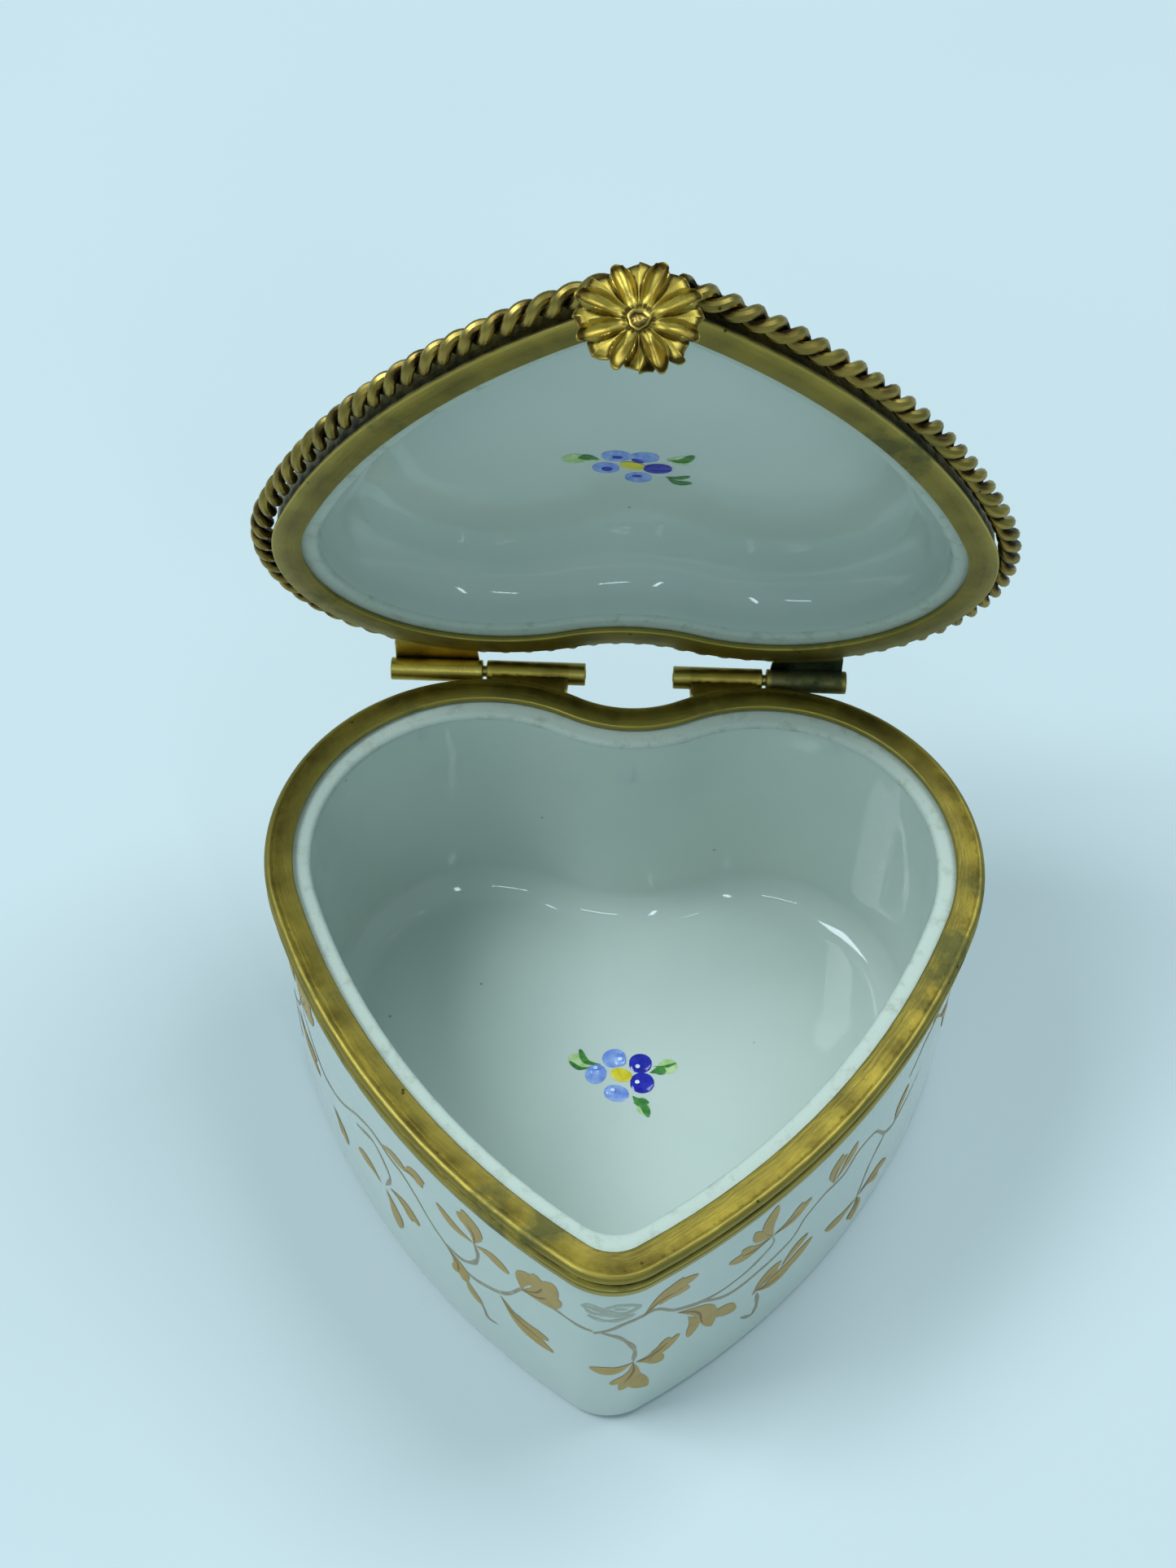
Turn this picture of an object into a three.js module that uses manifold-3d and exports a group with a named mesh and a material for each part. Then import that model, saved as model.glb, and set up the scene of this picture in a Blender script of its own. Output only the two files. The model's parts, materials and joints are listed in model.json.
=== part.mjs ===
// A heart-shaped porcelain trinket box with gilt brass mounts, standing open.
// Millimetres, +Z up. The origin is on the underside of the bowl, on the line through the
// centres of the heart's two lobes. The heart's point faces -Y and the hinges are at +Y.
import * as THREE from 'three';
import { mergeVertices } from 'three/addons/utils/BufferGeometryUtils.js';
import Module from 'manifold-3d';

// ---------------------------------------------------------------- driving dimensions

// Heart outline of the base bezel, made of tangent arcs.
const LOBE_X = 12.05;         // lobe centre from the middle
const LOBE_R = 17.95;         // lobe radius
const FLANK_R = 63;           // radius of the long sides
const TIP_R = 6;              // radius of the front point
const TIP_Y = -32.5;          // centre of the point's radius
const CLEFT_R = 10;           // hollow radius between the lobes

// Heights.
const RIM_Z = 29.5;           // top face of the base bezel
const SEAT_GAP = 0.2;         // between the two bezels when the lid is shut
const GAP = 0.3;              // round pieces that are soldered on
const FIT = 0.1;              // between porcelain and brass

// Base bezel.
const BASE_FLANGE_W = 2.4;    // width of the flat top face
const BASE_FLANGE_T = 0.6;
const BASE_BAND_T = 0.7;      // thickness of the side band
const BASE_BAND_H = 3.2;      // height of the side band
const BEADS = 3;
const BEAD_DEPTH = 0.28;      // depth of the grooves between the beads
const BEAD_FLAT = [0.3, 0.75]; // where a bead's outer face starts and ends, as shares of its height

// Porcelain bowl.
const BOWL_WALL = 3.1;
const BOWL_FLOOR = 3.2;
const BOWL_DRAFT = 0.1;       // how far the wall leans in towards the foot
const FOOT_R = 1;             // rounding under the wall
const BOWL_CORNER_R = 3;      // rounding between wall and floor
const WARE_TIP_R = 4;         // least radius of the point anywhere on the porcelain
const LIP_R = 0.5;            // rounding of the bowl's lip

// Lid bezel.
const LID_FLANGE_SET = 0.75;  // how far its edge stands inside the base bezel's
const LID_FLANGE_W = 2.4;
const LID_FLANGE_T = 0.5;
const LID_BAND_SET = 0.3;     // side wall, in from the flange's edge
const LID_BAND_T = 0.55;
const LID_BAND_H = 3.1;

// Porcelain lid.
const LID_WALL = 2.8;
const LID_HOLLOW = 5.6;       // depth of the hollow
const LID_CORNER_R = 3.5;
const LID_SHOULDER_Z = 3.4;   // where the dome starts, above the joint
const LID_DOME_Z = 8.7;       // top of the dome, above the joint
const LID_DOME_IN = 13;       // distance over which it rises
const LID_DOME_BOW = 2;       // 1 is a straight cone; more is a rounder dome
const LID_DOME_STEPS = 6;

// Twisted wire rope round the lid.
const WIRE_R = 0.4;
const WIRE_GAP = 0.26;        // between the two wires
const ROPE_PITCH = 4;         // length of one full twist
const ROPE_CLEAR = 0.22;      // between the rope and the lid bezel's side
const WIRE_SIDES = 5;
const STEPS_PER_TURN = 6;
const ROPE_LINE_FINE = 6;     // how much finer the rope's path is than the other outlines

// Hinges.
const PIN_R = 0.5;
const PIN_CLEAR = 0.06;
const KNUCKLE_R = 1.0;
const KNUCKLE_SPACE = 0.35;   // between the two knuckles of a hinge
const HINGE_DROP = 0.73;      // hinge axis below the rim's top face
const HINGE_BACK = 0.15;      // between the knuckles and the back of the lobes
const BASE_LEAF_T = 0.8;
const LID_LEAF_T = 0.25;
const LEAF_INSET = 0.4;       // leaf ends, in from the knuckle's ends
const LID_LEAF_RISE = 0.1;    // top of the lid's leaf, above the top of its knuckle
const HINGES = {
  left: { side: -1, inner: 3.9, split: 12.75, outer: 21.0 },
  right: { side: 1, inner: 3.8, split: 11.8, outer: 19.0 },
};

// Clasp.
const ROSETTE_R = 4.4;
const ROSETTE_Z = -2;         // its centre, above the joint
const PETALS = 16;            // every second one is raised
const PETAL_RISE = 0.2;       // how far the raised ones stand above the others
const RIVET_R = 0.75;
const RIVET_HEAD_R = 1.09;
const RIVET_SEAT = 0.9;       // underside of its head, above the rosette's back
const RIVET_HEAD_H = 0.6;
const TONGUE_W = 3.6;
const TONGUE_T = 0.4;
const TONGUE_DROP = 4.6;      // how far it hangs below the joint
const TONGUE_CLEAR = 0.15;    // between the tongue and the base bezel
const CLASP_FIT = 0.05;       // between the rosette, its rivet and the tongue

// Motion.
const OPEN_ANGLE = THREE.MathUtils.degToRad(75.5);

// Steps round the outline, for half of the heart.
const STEPS = { tip: 4, flank: 5, lobe: 16, cleft: 4 };
const ROUND = 12;             // sides of pins and knuckles
const OVERRUN = 10;           // how far a cutting shape runs past what it cuts

// ---------------------------------------------------------------- worked-out sizes

const HINGE_Y = LOBE_R + HINGE_BACK + KNUCKLE_R;
const HINGE_Z = RIM_Z - HINGE_DROP;
const JOINT_Z = RIM_Z + SEAT_GAP;
const FRONT_Y = TIP_Y - TIP_R;
const BOWL_OUT = -BASE_BAND_T - FIT;
const LID_BAND_OUT = -LID_FLANGE_SET - LID_BAND_SET;
const LID_OUT = LID_BAND_OUT - LID_BAND_T - FIT;
const WIRE_CENTRE = WIRE_R + WIRE_GAP / 2;          // from the rope's centre line
const ROPE_R = WIRE_CENTRE + WIRE_R;
const ROPE_SET = LID_BAND_OUT + ROPE_CLEAR + ROPE_R; // rope centre, from the base bezel's outline
const ROPE_Z = LID_FLANGE_T + ROPE_R;                // rope centre, above the joint
const ROSETTE_BACK = TONGUE_CLEAR + TONGUE_T + CLASP_FIT; // its back, in front of the front point

// The rope stops on each side where its outer face would reach the back of the rosette.
const ROPE_BREAK = 2 * (TIP_R + ROPE_SET)
  * Math.acos((TIP_R + ROSETTE_BACK - 2 * CLASP_FIT) / (TIP_R + ROPE_SET + ROPE_R));

const wasm = await Module();
wasm.setup();

// ---------------------------------------------------------------- materials

const porcelain = () => new THREE.MeshStandardMaterial({ color: 0xd5dedd, roughness: 0.18 });
const brass = (color = 0xa8893a) => new THREE.MeshStandardMaterial({ color, roughness: 0.38, metalness: 1 });

// ---------------------------------------------------------------- heart outline

const polar = (c, r, a) => new THREE.Vector2(c.x + r * Math.cos(a), c.y + r * Math.sin(a));
const bearing = (from, to) => Math.atan2(to.y - from.y, to.x - from.x);

// The crossing of two circles that lies to the left of the line between their centres.
function crossing(c0, r0, c1, r1) {
  const span = c0.distanceTo(c1);
  const along = (r0 * r0 - r1 * r1 + span * span) / (2 * span);
  const across = Math.sqrt(r0 * r0 - along * along);
  const u = c1.clone().sub(c0).normalize();
  return c0.clone().addScaledVector(u, along).add(new THREE.Vector2(-u.y, u.x).multiplyScalar(across));
}

const LOBE_C = new THREE.Vector2(LOBE_X, 0);
const CLEFT_C = new THREE.Vector2(0, Math.sqrt((LOBE_R + CLEFT_R) ** 2 - LOBE_X ** 2));
const FLANK_C = crossing(new THREE.Vector2(0, TIP_Y), FLANK_R - TIP_R, LOBE_C, FLANK_R - LOBE_R);

// The heart grown by a distance, anticlockwise from its front point. Every outline has the
// same number of points, so that rings at different distances join up one to one.
function heart(grow, { leastTip = 0.4, fine = 1 } = {}) {
  const flankR = FLANK_R + grow;
  const tipR = Math.max(TIP_R + grow, leastTip);
  const tipY = FLANK_C.y - Math.sqrt((flankR - tipR) ** 2 - FLANK_C.x ** 2);
  const tipC = new THREE.Vector2(0, tipY);
  const flankStart = bearing(FLANK_C, tipC);
  const flankEnd = bearing(FLANK_C, LOBE_C);
  const lobeEnd = bearing(LOBE_C, CLEFT_C);
  const arcs = [
    [tipC, tipR, -Math.PI / 2, flankStart, STEPS.tip],
    [FLANK_C, flankR, flankStart, flankEnd, STEPS.flank],
    [LOBE_C, LOBE_R + grow, flankEnd, lobeEnd, STEPS.lobe],
    [CLEFT_C, CLEFT_R - grow, lobeEnd - Math.PI, -Math.PI / 2, STEPS.cleft],
  ];
  const half = [];
  for (const [centre, radius, from, to, steps] of arcs) {
    const n = steps * fine;
    for (let i = 0; i < n; i++) half.push(polar(centre, radius, from + (to - from) * i / n));
  }
  const cleft = polar(CLEFT_C, CLEFT_R - grow, -Math.PI / 2);
  const mirrored = half.slice(1).reverse().map((p) => new THREE.Vector2(-p.x, p.y));
  return [...half, cleft, ...mirrored];
}

// ---------------------------------------------------------------- solids

// A closed skin through rings of points. The profile runs up the outside, over the top and
// down the inside; it either closes on itself or ends in two flat caps.
function loft(rings, { closed = false } = {}) {
  const n = rings[0].length;
  const position = rings.flat().flatMap((p) => [p.x, p.y, p.z]);
  const index = [];
  const spans = closed ? rings.length : rings.length - 1;
  for (let k = 0; k < spans; k++) {
    const low = k * n;
    const high = ((k + 1) % rings.length) * n;
    for (let i = 0; i < n; i++) {
      const j = (i + 1) % n;
      index.push(low + i, low + j, high + j, low + i, high + j, high + i);
    }
  }
  if (!closed) {
    const cap = (ring, base, flip) => {
      for (const [a, b, c] of THREE.ShapeUtils.triangulateShape(ring, [])) {
        index.push(base + a, base + (flip ? c : b), base + (flip ? b : c));
      }
    };
    cap(rings[0], 0, true);
    cap(rings.at(-1), (rings.length - 1) * n, false);
  }
  const geometry = new THREE.BufferGeometry();
  geometry.setAttribute('position', new THREE.Float32BufferAttribute(position, 3));
  geometry.setIndex(index);
  geometry.computeVertexNormals();
  return geometry;
}

// The heart as a solid block through some height, to cut a piece back from a bezel.
const heartPrism = (grow, z) => loft(heartRings([[grow, z - OVERRUN], [grow, z + OVERRUN]]));

// Heart rings from a profile of [growth, height] pairs.
const heartRings = (profile, options) =>
  profile.map(([grow, z]) => heart(grow, options).map((p) => new THREE.Vector3(p.x, p.y, z)));

// Profile points on a quarter round from one angle to another, both ends included.
function round(grow, z, r, from, to, steps = 3) {
  const points = [];
  for (let i = 0; i <= steps; i++) {
    const a = THREE.MathUtils.degToRad(from + (to - from) * i / steps);
    points.push([grow + r * Math.cos(a), z + r * Math.sin(a)]);
  }
  return points;
}

function toSolid(geometry) {
  const bare = geometry.clone();
  bare.deleteAttribute('normal');
  bare.deleteAttribute('uv');
  const merged = mergeVertices(bare, 1e-5);
  return new wasm.Manifold(new wasm.Mesh({
    numProp: 3,
    vertProperties: new Float32Array(merged.attributes.position.array),
    triVerts: new Uint32Array(merged.index.array),
  }));
}

function fromSolid(solid) {
  const mesh = solid.getMesh();
  const geometry = new THREE.BufferGeometry();
  geometry.setAttribute('position', new THREE.BufferAttribute(mesh.vertProperties, 3));
  geometry.setIndex(new THREE.BufferAttribute(mesh.triVerts, 1));
  geometry.computeVertexNormals();
  return geometry;
}

function box(x0, x1, y0, y1, z0, z1) {
  return new THREE.BoxGeometry(x1 - x0, y1 - y0, z1 - z0)
    .translate((x0 + x1) / 2, (y0 + y1) / 2, (z0 + z1) / 2);
}

// A round bar along X on the hinge axis.
function bar(r, x0, x1) {
  return new THREE.CylinderGeometry(r, r, x1 - x0, ROUND)
    .rotateZ(Math.PI / 2)
    .translate((x0 + x1) / 2, HINGE_Y, HINGE_Z);
}

function named(name, geometry, material) {
  const mesh = new THREE.Mesh(geometry, material);
  mesh.name = name;
  return mesh;
}

// ---------------------------------------------------------------- base

function bowl() {
  const foot = BOWL_OUT - BOWL_DRAFT;
  const inner = BOWL_OUT - BOWL_WALL;
  const top = RIM_Z - BASE_FLANGE_T - FIT;
  const profile = [
    ...round(foot - FOOT_R, FOOT_R, FOOT_R, -90, 0),
    [BOWL_OUT, RIM_Z - BASE_BAND_H],
    [BOWL_OUT, top],
    ...round(inner + LIP_R, top - LIP_R, LIP_R, 90, 180, 2),
    ...round(inner - BOWL_CORNER_R, BOWL_FLOOR + BOWL_CORNER_R, BOWL_CORNER_R, 0, -90, 4),
  ];
  return loft(heartRings(profile, { leastTip: WARE_TIP_R }));
}

function baseBezel() {
  const flangeUnder = RIM_Z - BASE_FLANGE_T;
  const foot = RIM_Z - BASE_BAND_H;
  const beadH = BASE_BAND_H / BEADS;
  const profile = [[-BASE_BAND_T, foot]];
  for (let bead = 0; bead < BEADS; bead++) {
    const z = foot + bead * beadH;
    profile.push([-BEAD_DEPTH, z], ...BEAD_FLAT.map((share) => [0, z + beadH * share]));
  }
  profile.push(
    [-BEAD_DEPTH, RIM_Z],
    [-BASE_FLANGE_W, RIM_Z],
    [-BASE_FLANGE_W, flangeUnder],
    [-BASE_BAND_T, flangeUnder],
  );
  return loft(heartRings(profile), { closed: true });
}

// ---------------------------------------------------------------- hinges

const knuckleSpan = ({ side, inner, split, outer }, part) => {
  const ends = part === 'base'
    ? [inner, split - KNUCKLE_SPACE / 2]
    : [split + KNUCKLE_SPACE / 2, outer];
  return ends.map((x) => side * x).sort((a, b) => a - b);
};

// A knuckle with its leaf, cut back from the bezel that the leaf is soldered to.
function knuckle(hinge, part) {
  const [x0, x1] = knuckleSpan(hinge, part);
  const [leafTop, leafT] = part === 'base'
    ? [HINGE_Z + KNUCKLE_R / 2, BASE_LEAF_T]
    : [HINGE_Z + KNUCKLE_R + LID_LEAF_RISE, LID_LEAF_T];
  const edge = part === 'base' ? GAP : GAP - LID_FLANGE_SET;
  const leaf = box(x0 + LEAF_INSET, x1 - LEAF_INSET, 0, HINGE_Y, leafTop - leafT, leafTop);
  const bezelSpace = heartPrism(edge, HINGE_Z);
  const boreR = (PIN_R + PIN_CLEAR) / Math.cos(Math.PI / ROUND);
  const solid = toSolid(leaf)
    .subtract(toSolid(bezelSpace))
    .add(toSolid(bar(KNUCKLE_R, x0, x1)))
    .subtract(toSolid(bar(boreR, x0 - OVERRUN, x1 + OVERRUN)));
  return fromSolid(solid);
}

function hingePin({ side, inner, outer }) {
  const [x0, x1] = [side * inner, side * outer].sort((a, b) => a - b);
  return bar(PIN_R, x0, x1);
}

// ---------------------------------------------------------------- lid, drawn shut

function lidBezel() {
  const under = JOINT_Z;
  const top = JOINT_Z + LID_BAND_H;
  const bandIn = LID_BAND_OUT - LID_BAND_T;
  const profile = [
    [-LID_FLANGE_SET, under],
    [-LID_FLANGE_SET, under + LID_FLANGE_T],
    [LID_BAND_OUT, under + LID_FLANGE_T],
    [LID_BAND_OUT, top],
    [bandIn, top],
    [bandIn, under + LID_FLANGE_T],
    [-LID_FLANGE_SET - LID_FLANGE_W, under + LID_FLANGE_T],
    [-LID_FLANGE_SET - LID_FLANGE_W, under],
  ];
  return loft(heartRings(profile), { closed: true });
}

// The profile starts at the hollow's ceiling, runs down the hollow's wall, out under the lip,
// and up over the dome to its flat top. It ends in two flat caps, the ceiling and the top.
function porcelainLid() {
  const lipZ = JOINT_Z + LID_FLANGE_T + FIT;
  const ceiling = JOINT_Z + LID_HOLLOW;
  const inner = LID_OUT - LID_WALL;
  const rise = LID_DOME_Z - LID_SHOULDER_Z;
  const dome = [];
  for (let i = 0; i <= LID_DOME_STEPS; i++) {
    const t = i / LID_DOME_STEPS;
    const height = LID_SHOULDER_Z + rise * (1 - (1 - t) ** LID_DOME_BOW);
    dome.push([LID_OUT - LID_DOME_IN * t, JOINT_Z + height]);
  }
  const profile = [
    ...round(inner - LID_CORNER_R, ceiling - LID_CORNER_R, LID_CORNER_R, 90, 0, 4),
    [inner, lipZ],
    [LID_OUT, lipZ],
    ...dome,
  ];
  return loft(heartRings(profile, { leastTip: WARE_TIP_R }));
}

// Distance along a polyline at each of its points.
function distances(points) {
  const run = [0];
  for (let i = 1; i < points.length; i++) run.push(run[i - 1] + points[i].distanceTo(points[i - 1]));
  return run;
}

// One wire of the rope: a helix round the rope's centre line, which follows the heart from
// one side of the rosette to the other.
function ropeWire(phase) {
  const outline = heart(ROPE_SET, { fine: ROPE_LINE_FINE });
  outline.push(outline[0].clone());
  const run = distances(outline);
  const total = run.at(-1) - ROPE_BREAK;
  const steps = Math.round(total / ROPE_PITCH * STEPS_PER_TURN);
  const rings = [];
  let seg = 1;
  for (let i = 0; i <= steps; i++) {
    const s = ROPE_BREAK / 2 + total * i / steps;
    while (run[seg] < s && seg < run.length - 1) seg++;
    const t = (s - run[seg - 1]) / (run[seg] - run[seg - 1]);
    const centre = outline[seg - 1].clone().lerp(outline[seg], t);
    const along = outline[seg].clone().sub(outline[seg - 1]).normalize();
    const out = new THREE.Vector3(along.y, -along.x, 0);
    const up = new THREE.Vector3(0, 0, 1);
    const turn = phase + 2 * Math.PI * s / ROPE_PITCH;
    const ring = [];
    for (let k = 0; k < WIRE_SIDES; k++) {
      const a = turn + 2 * Math.PI * k / WIRE_SIDES;
      ring.push(new THREE.Vector3(centre.x, centre.y, JOINT_Z + ROPE_Z)
        .addScaledVector(out, WIRE_CENTRE * Math.cos(turn) + WIRE_R * Math.cos(a))
        .addScaledVector(up, WIRE_CENTRE * Math.sin(turn) + WIRE_R * Math.sin(a)));
    }
    rings.push(ring);
  }
  return tube(rings);
}

// A skin through rings that stand across a path, closed by a fan at each end.
function tube(rings) {
  const n = rings[0].length;
  const position = rings.flat().flatMap((p) => [p.x, p.y, p.z]);
  const index = [];
  for (let k = 0; k < rings.length - 1; k++) {
    for (let i = 0; i < n; i++) {
      const j = (i + 1) % n;
      const low = k * n;
      const high = low + n;
      index.push(low + i, high + j, low + j, low + i, high + i, high + j);
    }
  }
  const last = (rings.length - 1) * n;
  for (let i = 1; i < n - 1; i++) {
    index.push(0, i, i + 1);
    index.push(last, last + i + 1, last + i);
  }
  const geometry = new THREE.BufferGeometry();
  geometry.setAttribute('position', new THREE.Float32BufferAttribute(position, 3));
  geometry.setIndex(index);
  geometry.computeVertexNormals();
  return geometry;
}

// ---------------------------------------------------------------- clasp, drawn facing +Z

// A stamped daisy: pointed petals round a hole for the rivet, every second one raised. A
// petal is four points wide: a notch, a side, its tip and the other side.
function rosette() {
  const perPetal = 4;
  const notch = 0.84;
  const shape = [notch, 0.95, 1, 0.95];
  const crown = [0, 0.16, 0.3, 0.16];
  // The front: share of the radius, height, shares of the raised petals' step and of the crown.
  const front = [[1, 0.05, 1, 0], [1, 0.35, 1, 0.33], [0.7, 0.6, 1, 1], [0.4, 0.62, 0, 0.5]];
  const holeHeight = 0.5;
  const n = PETALS * perPetal;
  const ring = (radius, height) => {
    const points = [];
    for (let i = 0; i < n; i++) {
      const a = 2 * Math.PI * i / n;
      const place = i % perPetal;
      const raised = Math.floor(i / perPetal) % 2;
      points.push(new THREE.Vector3(radius(place) * Math.cos(a), radius(place) * Math.sin(a),
        height(place, raised)));
    }
    return points;
  };
  const hole = RIVET_R + CLASP_FIT + PIN_CLEAR;
  const rings = [
    ring(() => hole, () => 0),
    ring(() => ROSETTE_R * notch, () => 0),
    ...front.map(([share, height, step, ridge]) => ring(
      (place) => ROSETTE_R * share * shape[place],
      (place, raised) => height + step * PETAL_RISE * raised + ridge * crown[place],
    )),
    ring(() => hole, () => holeHeight),
  ];
  return loft(rings, { closed: true });
}

// The rivet's domed head and its shank, which reaches back to the tongue.
function claspRivet() {
  const foot = 0.02;
  const profile = [
    [0, foot], [RIVET_R, foot], [RIVET_R, RIVET_SEAT], [RIVET_HEAD_R, RIVET_SEAT],
    [RIVET_HEAD_R, RIVET_SEAT + RIVET_HEAD_H * 0.4],
    [RIVET_HEAD_R * 0.7, RIVET_SEAT + RIVET_HEAD_H * 0.85], [0, RIVET_SEAT + RIVET_HEAD_H],
  ].map(([r, z]) => new THREE.Vector2(r, z));
  return new THREE.LatheGeometry(profile, ROUND).rotateX(Math.PI / 2);
}

// The spring strip that the rosette is riveted to. Its top is soldered to the lid's flange.
function claspTongue() {
  const back = FRONT_Y - TONGUE_CLEAR;
  const front = back - TONGUE_T;
  const strip = box(-TONGUE_W / 2, TONGUE_W / 2, front, back,
    JOINT_Z - TONGUE_DROP, JOINT_Z + LID_FLANGE_T);
  const tab = box(-TONGUE_W / 2, TONGUE_W / 2, back - TONGUE_T / 2, TIP_Y,
    JOINT_Z, JOINT_Z + LID_FLANGE_T);
  const bezelSpace = heartPrism(GAP - LID_FLANGE_SET, JOINT_Z);
  return fromSolid(toSolid(strip).add(toSolid(tab).subtract(toSolid(bezelSpace))));
}

// ---------------------------------------------------------------- assembly

const trinketBox = new THREE.Group();

const base = new THREE.Group();
base.add(named('porcelain_bowl', bowl(), porcelain()));
base.add(named('base_bezel', baseBezel(), brass()));

// Everything on the lid is drawn shut, then turned about the hinge axis.
const lidTurn = new THREE.Group();
lidTurn.position.set(0, HINGE_Y, HINGE_Z);
lidTurn.rotation.x = -OPEN_ANGLE;
const lid = new THREE.Group();
lid.position.set(0, -HINGE_Y, -HINGE_Z);
lidTurn.add(lid);
lid.add(named('porcelain_lid', porcelainLid(), porcelain()));
lid.add(named('lid_bezel', lidBezel(), brass()));
lid.add(named('rope_wire_a', ropeWire(0), brass(0x8f7434)));
lid.add(named('rope_wire_b', ropeWire(Math.PI), brass(0x8f7434)));

for (const [name, hinge] of Object.entries(HINGES)) {
  base.add(named(`base_knuckle_${name}`, knuckle(hinge, 'base'), brass()));
  base.add(named(`hinge_pin_${name}`, hingePin(hinge), brass(0x6f6a4c)));
  lid.add(named(`lid_knuckle_${name}`, knuckle(hinge, 'lid'), brass()));
}

const clasp = new THREE.Group();
clasp.position.set(0, FRONT_Y - ROSETTE_BACK, JOINT_Z + ROSETTE_Z);
clasp.rotation.x = Math.PI / 2;
clasp.add(named('clasp_rosette', rosette(), brass(0xc9a43c)));
clasp.add(named('clasp_rivet', claspRivet(), brass(0xb8963c)));
lid.add(clasp);
lid.add(named('clasp_tongue', claspTongue(), brass()));

trinketBox.add(base, lidTurn);

export default trinketBox;
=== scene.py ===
# %% [markdown]
# # A heart-shaped porcelain trinket box
# The box is two porcelain halves, each held in a gilt brass bezel. Two hinges join them at
# the back. A twisted wire rope runs round the lid, and a stamped daisy is the clasp.
# The imported model gives every place and size, so it is loaded first.

# %% Load the frame
import json
import math

import bmesh
import bpy
import numpy as np
from mathutils import Matrix, Vector


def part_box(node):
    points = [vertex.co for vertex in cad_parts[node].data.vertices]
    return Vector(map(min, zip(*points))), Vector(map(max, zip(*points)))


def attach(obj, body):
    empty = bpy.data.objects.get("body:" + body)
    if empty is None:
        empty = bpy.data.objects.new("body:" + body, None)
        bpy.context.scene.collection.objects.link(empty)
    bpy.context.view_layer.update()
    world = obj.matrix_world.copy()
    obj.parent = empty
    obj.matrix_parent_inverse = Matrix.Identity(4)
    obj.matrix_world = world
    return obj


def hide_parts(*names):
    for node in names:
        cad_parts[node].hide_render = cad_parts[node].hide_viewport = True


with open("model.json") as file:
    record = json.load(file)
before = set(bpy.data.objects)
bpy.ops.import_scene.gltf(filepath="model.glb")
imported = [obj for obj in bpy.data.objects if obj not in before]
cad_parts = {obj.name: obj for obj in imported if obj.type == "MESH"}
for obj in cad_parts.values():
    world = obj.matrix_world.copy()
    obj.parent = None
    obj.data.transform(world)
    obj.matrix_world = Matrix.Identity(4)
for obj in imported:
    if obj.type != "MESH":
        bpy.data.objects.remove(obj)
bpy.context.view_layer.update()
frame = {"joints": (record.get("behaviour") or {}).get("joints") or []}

MM = 0.001

# %% [markdown]
# ## The places that everything follows
# Blender works in metres here, and a maker thinks in millimetres, so sizes are written in mm
# and turned into metres when a mesh is made. The rim, the hinge line and the porcelain come
# from the frame's own boxes, so the fine model sits exactly where the plain one is.

# %% Sizes from the frame
RIM_LOW, RIM_HIGH = (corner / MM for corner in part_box("base_bezel"))
BOWL_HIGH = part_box("porcelain_bowl")[1] / MM
HINGE_LOW, HINGE_HIGH = (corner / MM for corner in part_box("hinge_pin_left"))
HINGE_Y = (HINGE_LOW.y + HINGE_HIGH.y) / 2
HINGE_Z = (HINGE_LOW.z + HINGE_HIGH.z) / 2
RIM_Z = RIM_HIGH.z
SEAT_GAP = 0.2
JOINT_Z = RIM_Z + SEAT_GAP
OPEN_ANGLE = math.radians(-frame["joints"][0]["range_deg"][0])
print(f"rim {RIM_Z:.2f}, hinge at y {HINGE_Y:.2f} z {HINGE_Z:.2f}, "
      f"open {math.degrees(OPEN_ANGLE):.1f} deg")

# %% [markdown]
# ## The heart outline
# Every ring of the box is the same heart, grown or shrunk by some distance. A heart made of
# tangent arcs stays smooth when it is offset, because an arc's offset is another arc: the
# front point, a long flank, a round lobe and the hollow between the lobes, then the mirror
# image. A scaled heart would get thinner walls at its sides than at its point.

# %% Heart outline
LOBE_R = RIM_HIGH.y
LOBE_X = RIM_HIGH.x - LOBE_R
FLANK_R = 63
TIP_R = 6
TIP_Y = RIM_LOW.y + TIP_R
CLEFT_R = 10
ARC_STEPS = {"tip": 10, "flank": 16, "lobe": 44, "cleft": 10}


def crossing(c0, r0, c1, r1):
    """Where two circles cross, on the left of the line between their centres."""
    span = (c1 - c0).length
    along = (r0 * r0 - r1 * r1 + span * span) / (2 * span)
    across = math.sqrt(r0 * r0 - along * along)
    u = (c1 - c0) / span
    return c0 + u * along + Vector((-u.y, u.x)) * across


LOBE_C = Vector((LOBE_X, 0))
CLEFT_C = Vector((0, math.sqrt((LOBE_R + CLEFT_R) ** 2 - LOBE_X ** 2)))
FLANK_C = crossing(Vector((0, TIP_Y)), FLANK_R - TIP_R, LOBE_C, FLANK_R - LOBE_R)


def bearing(start, end):
    return math.atan2(end.y - start.y, end.x - start.x)


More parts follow.
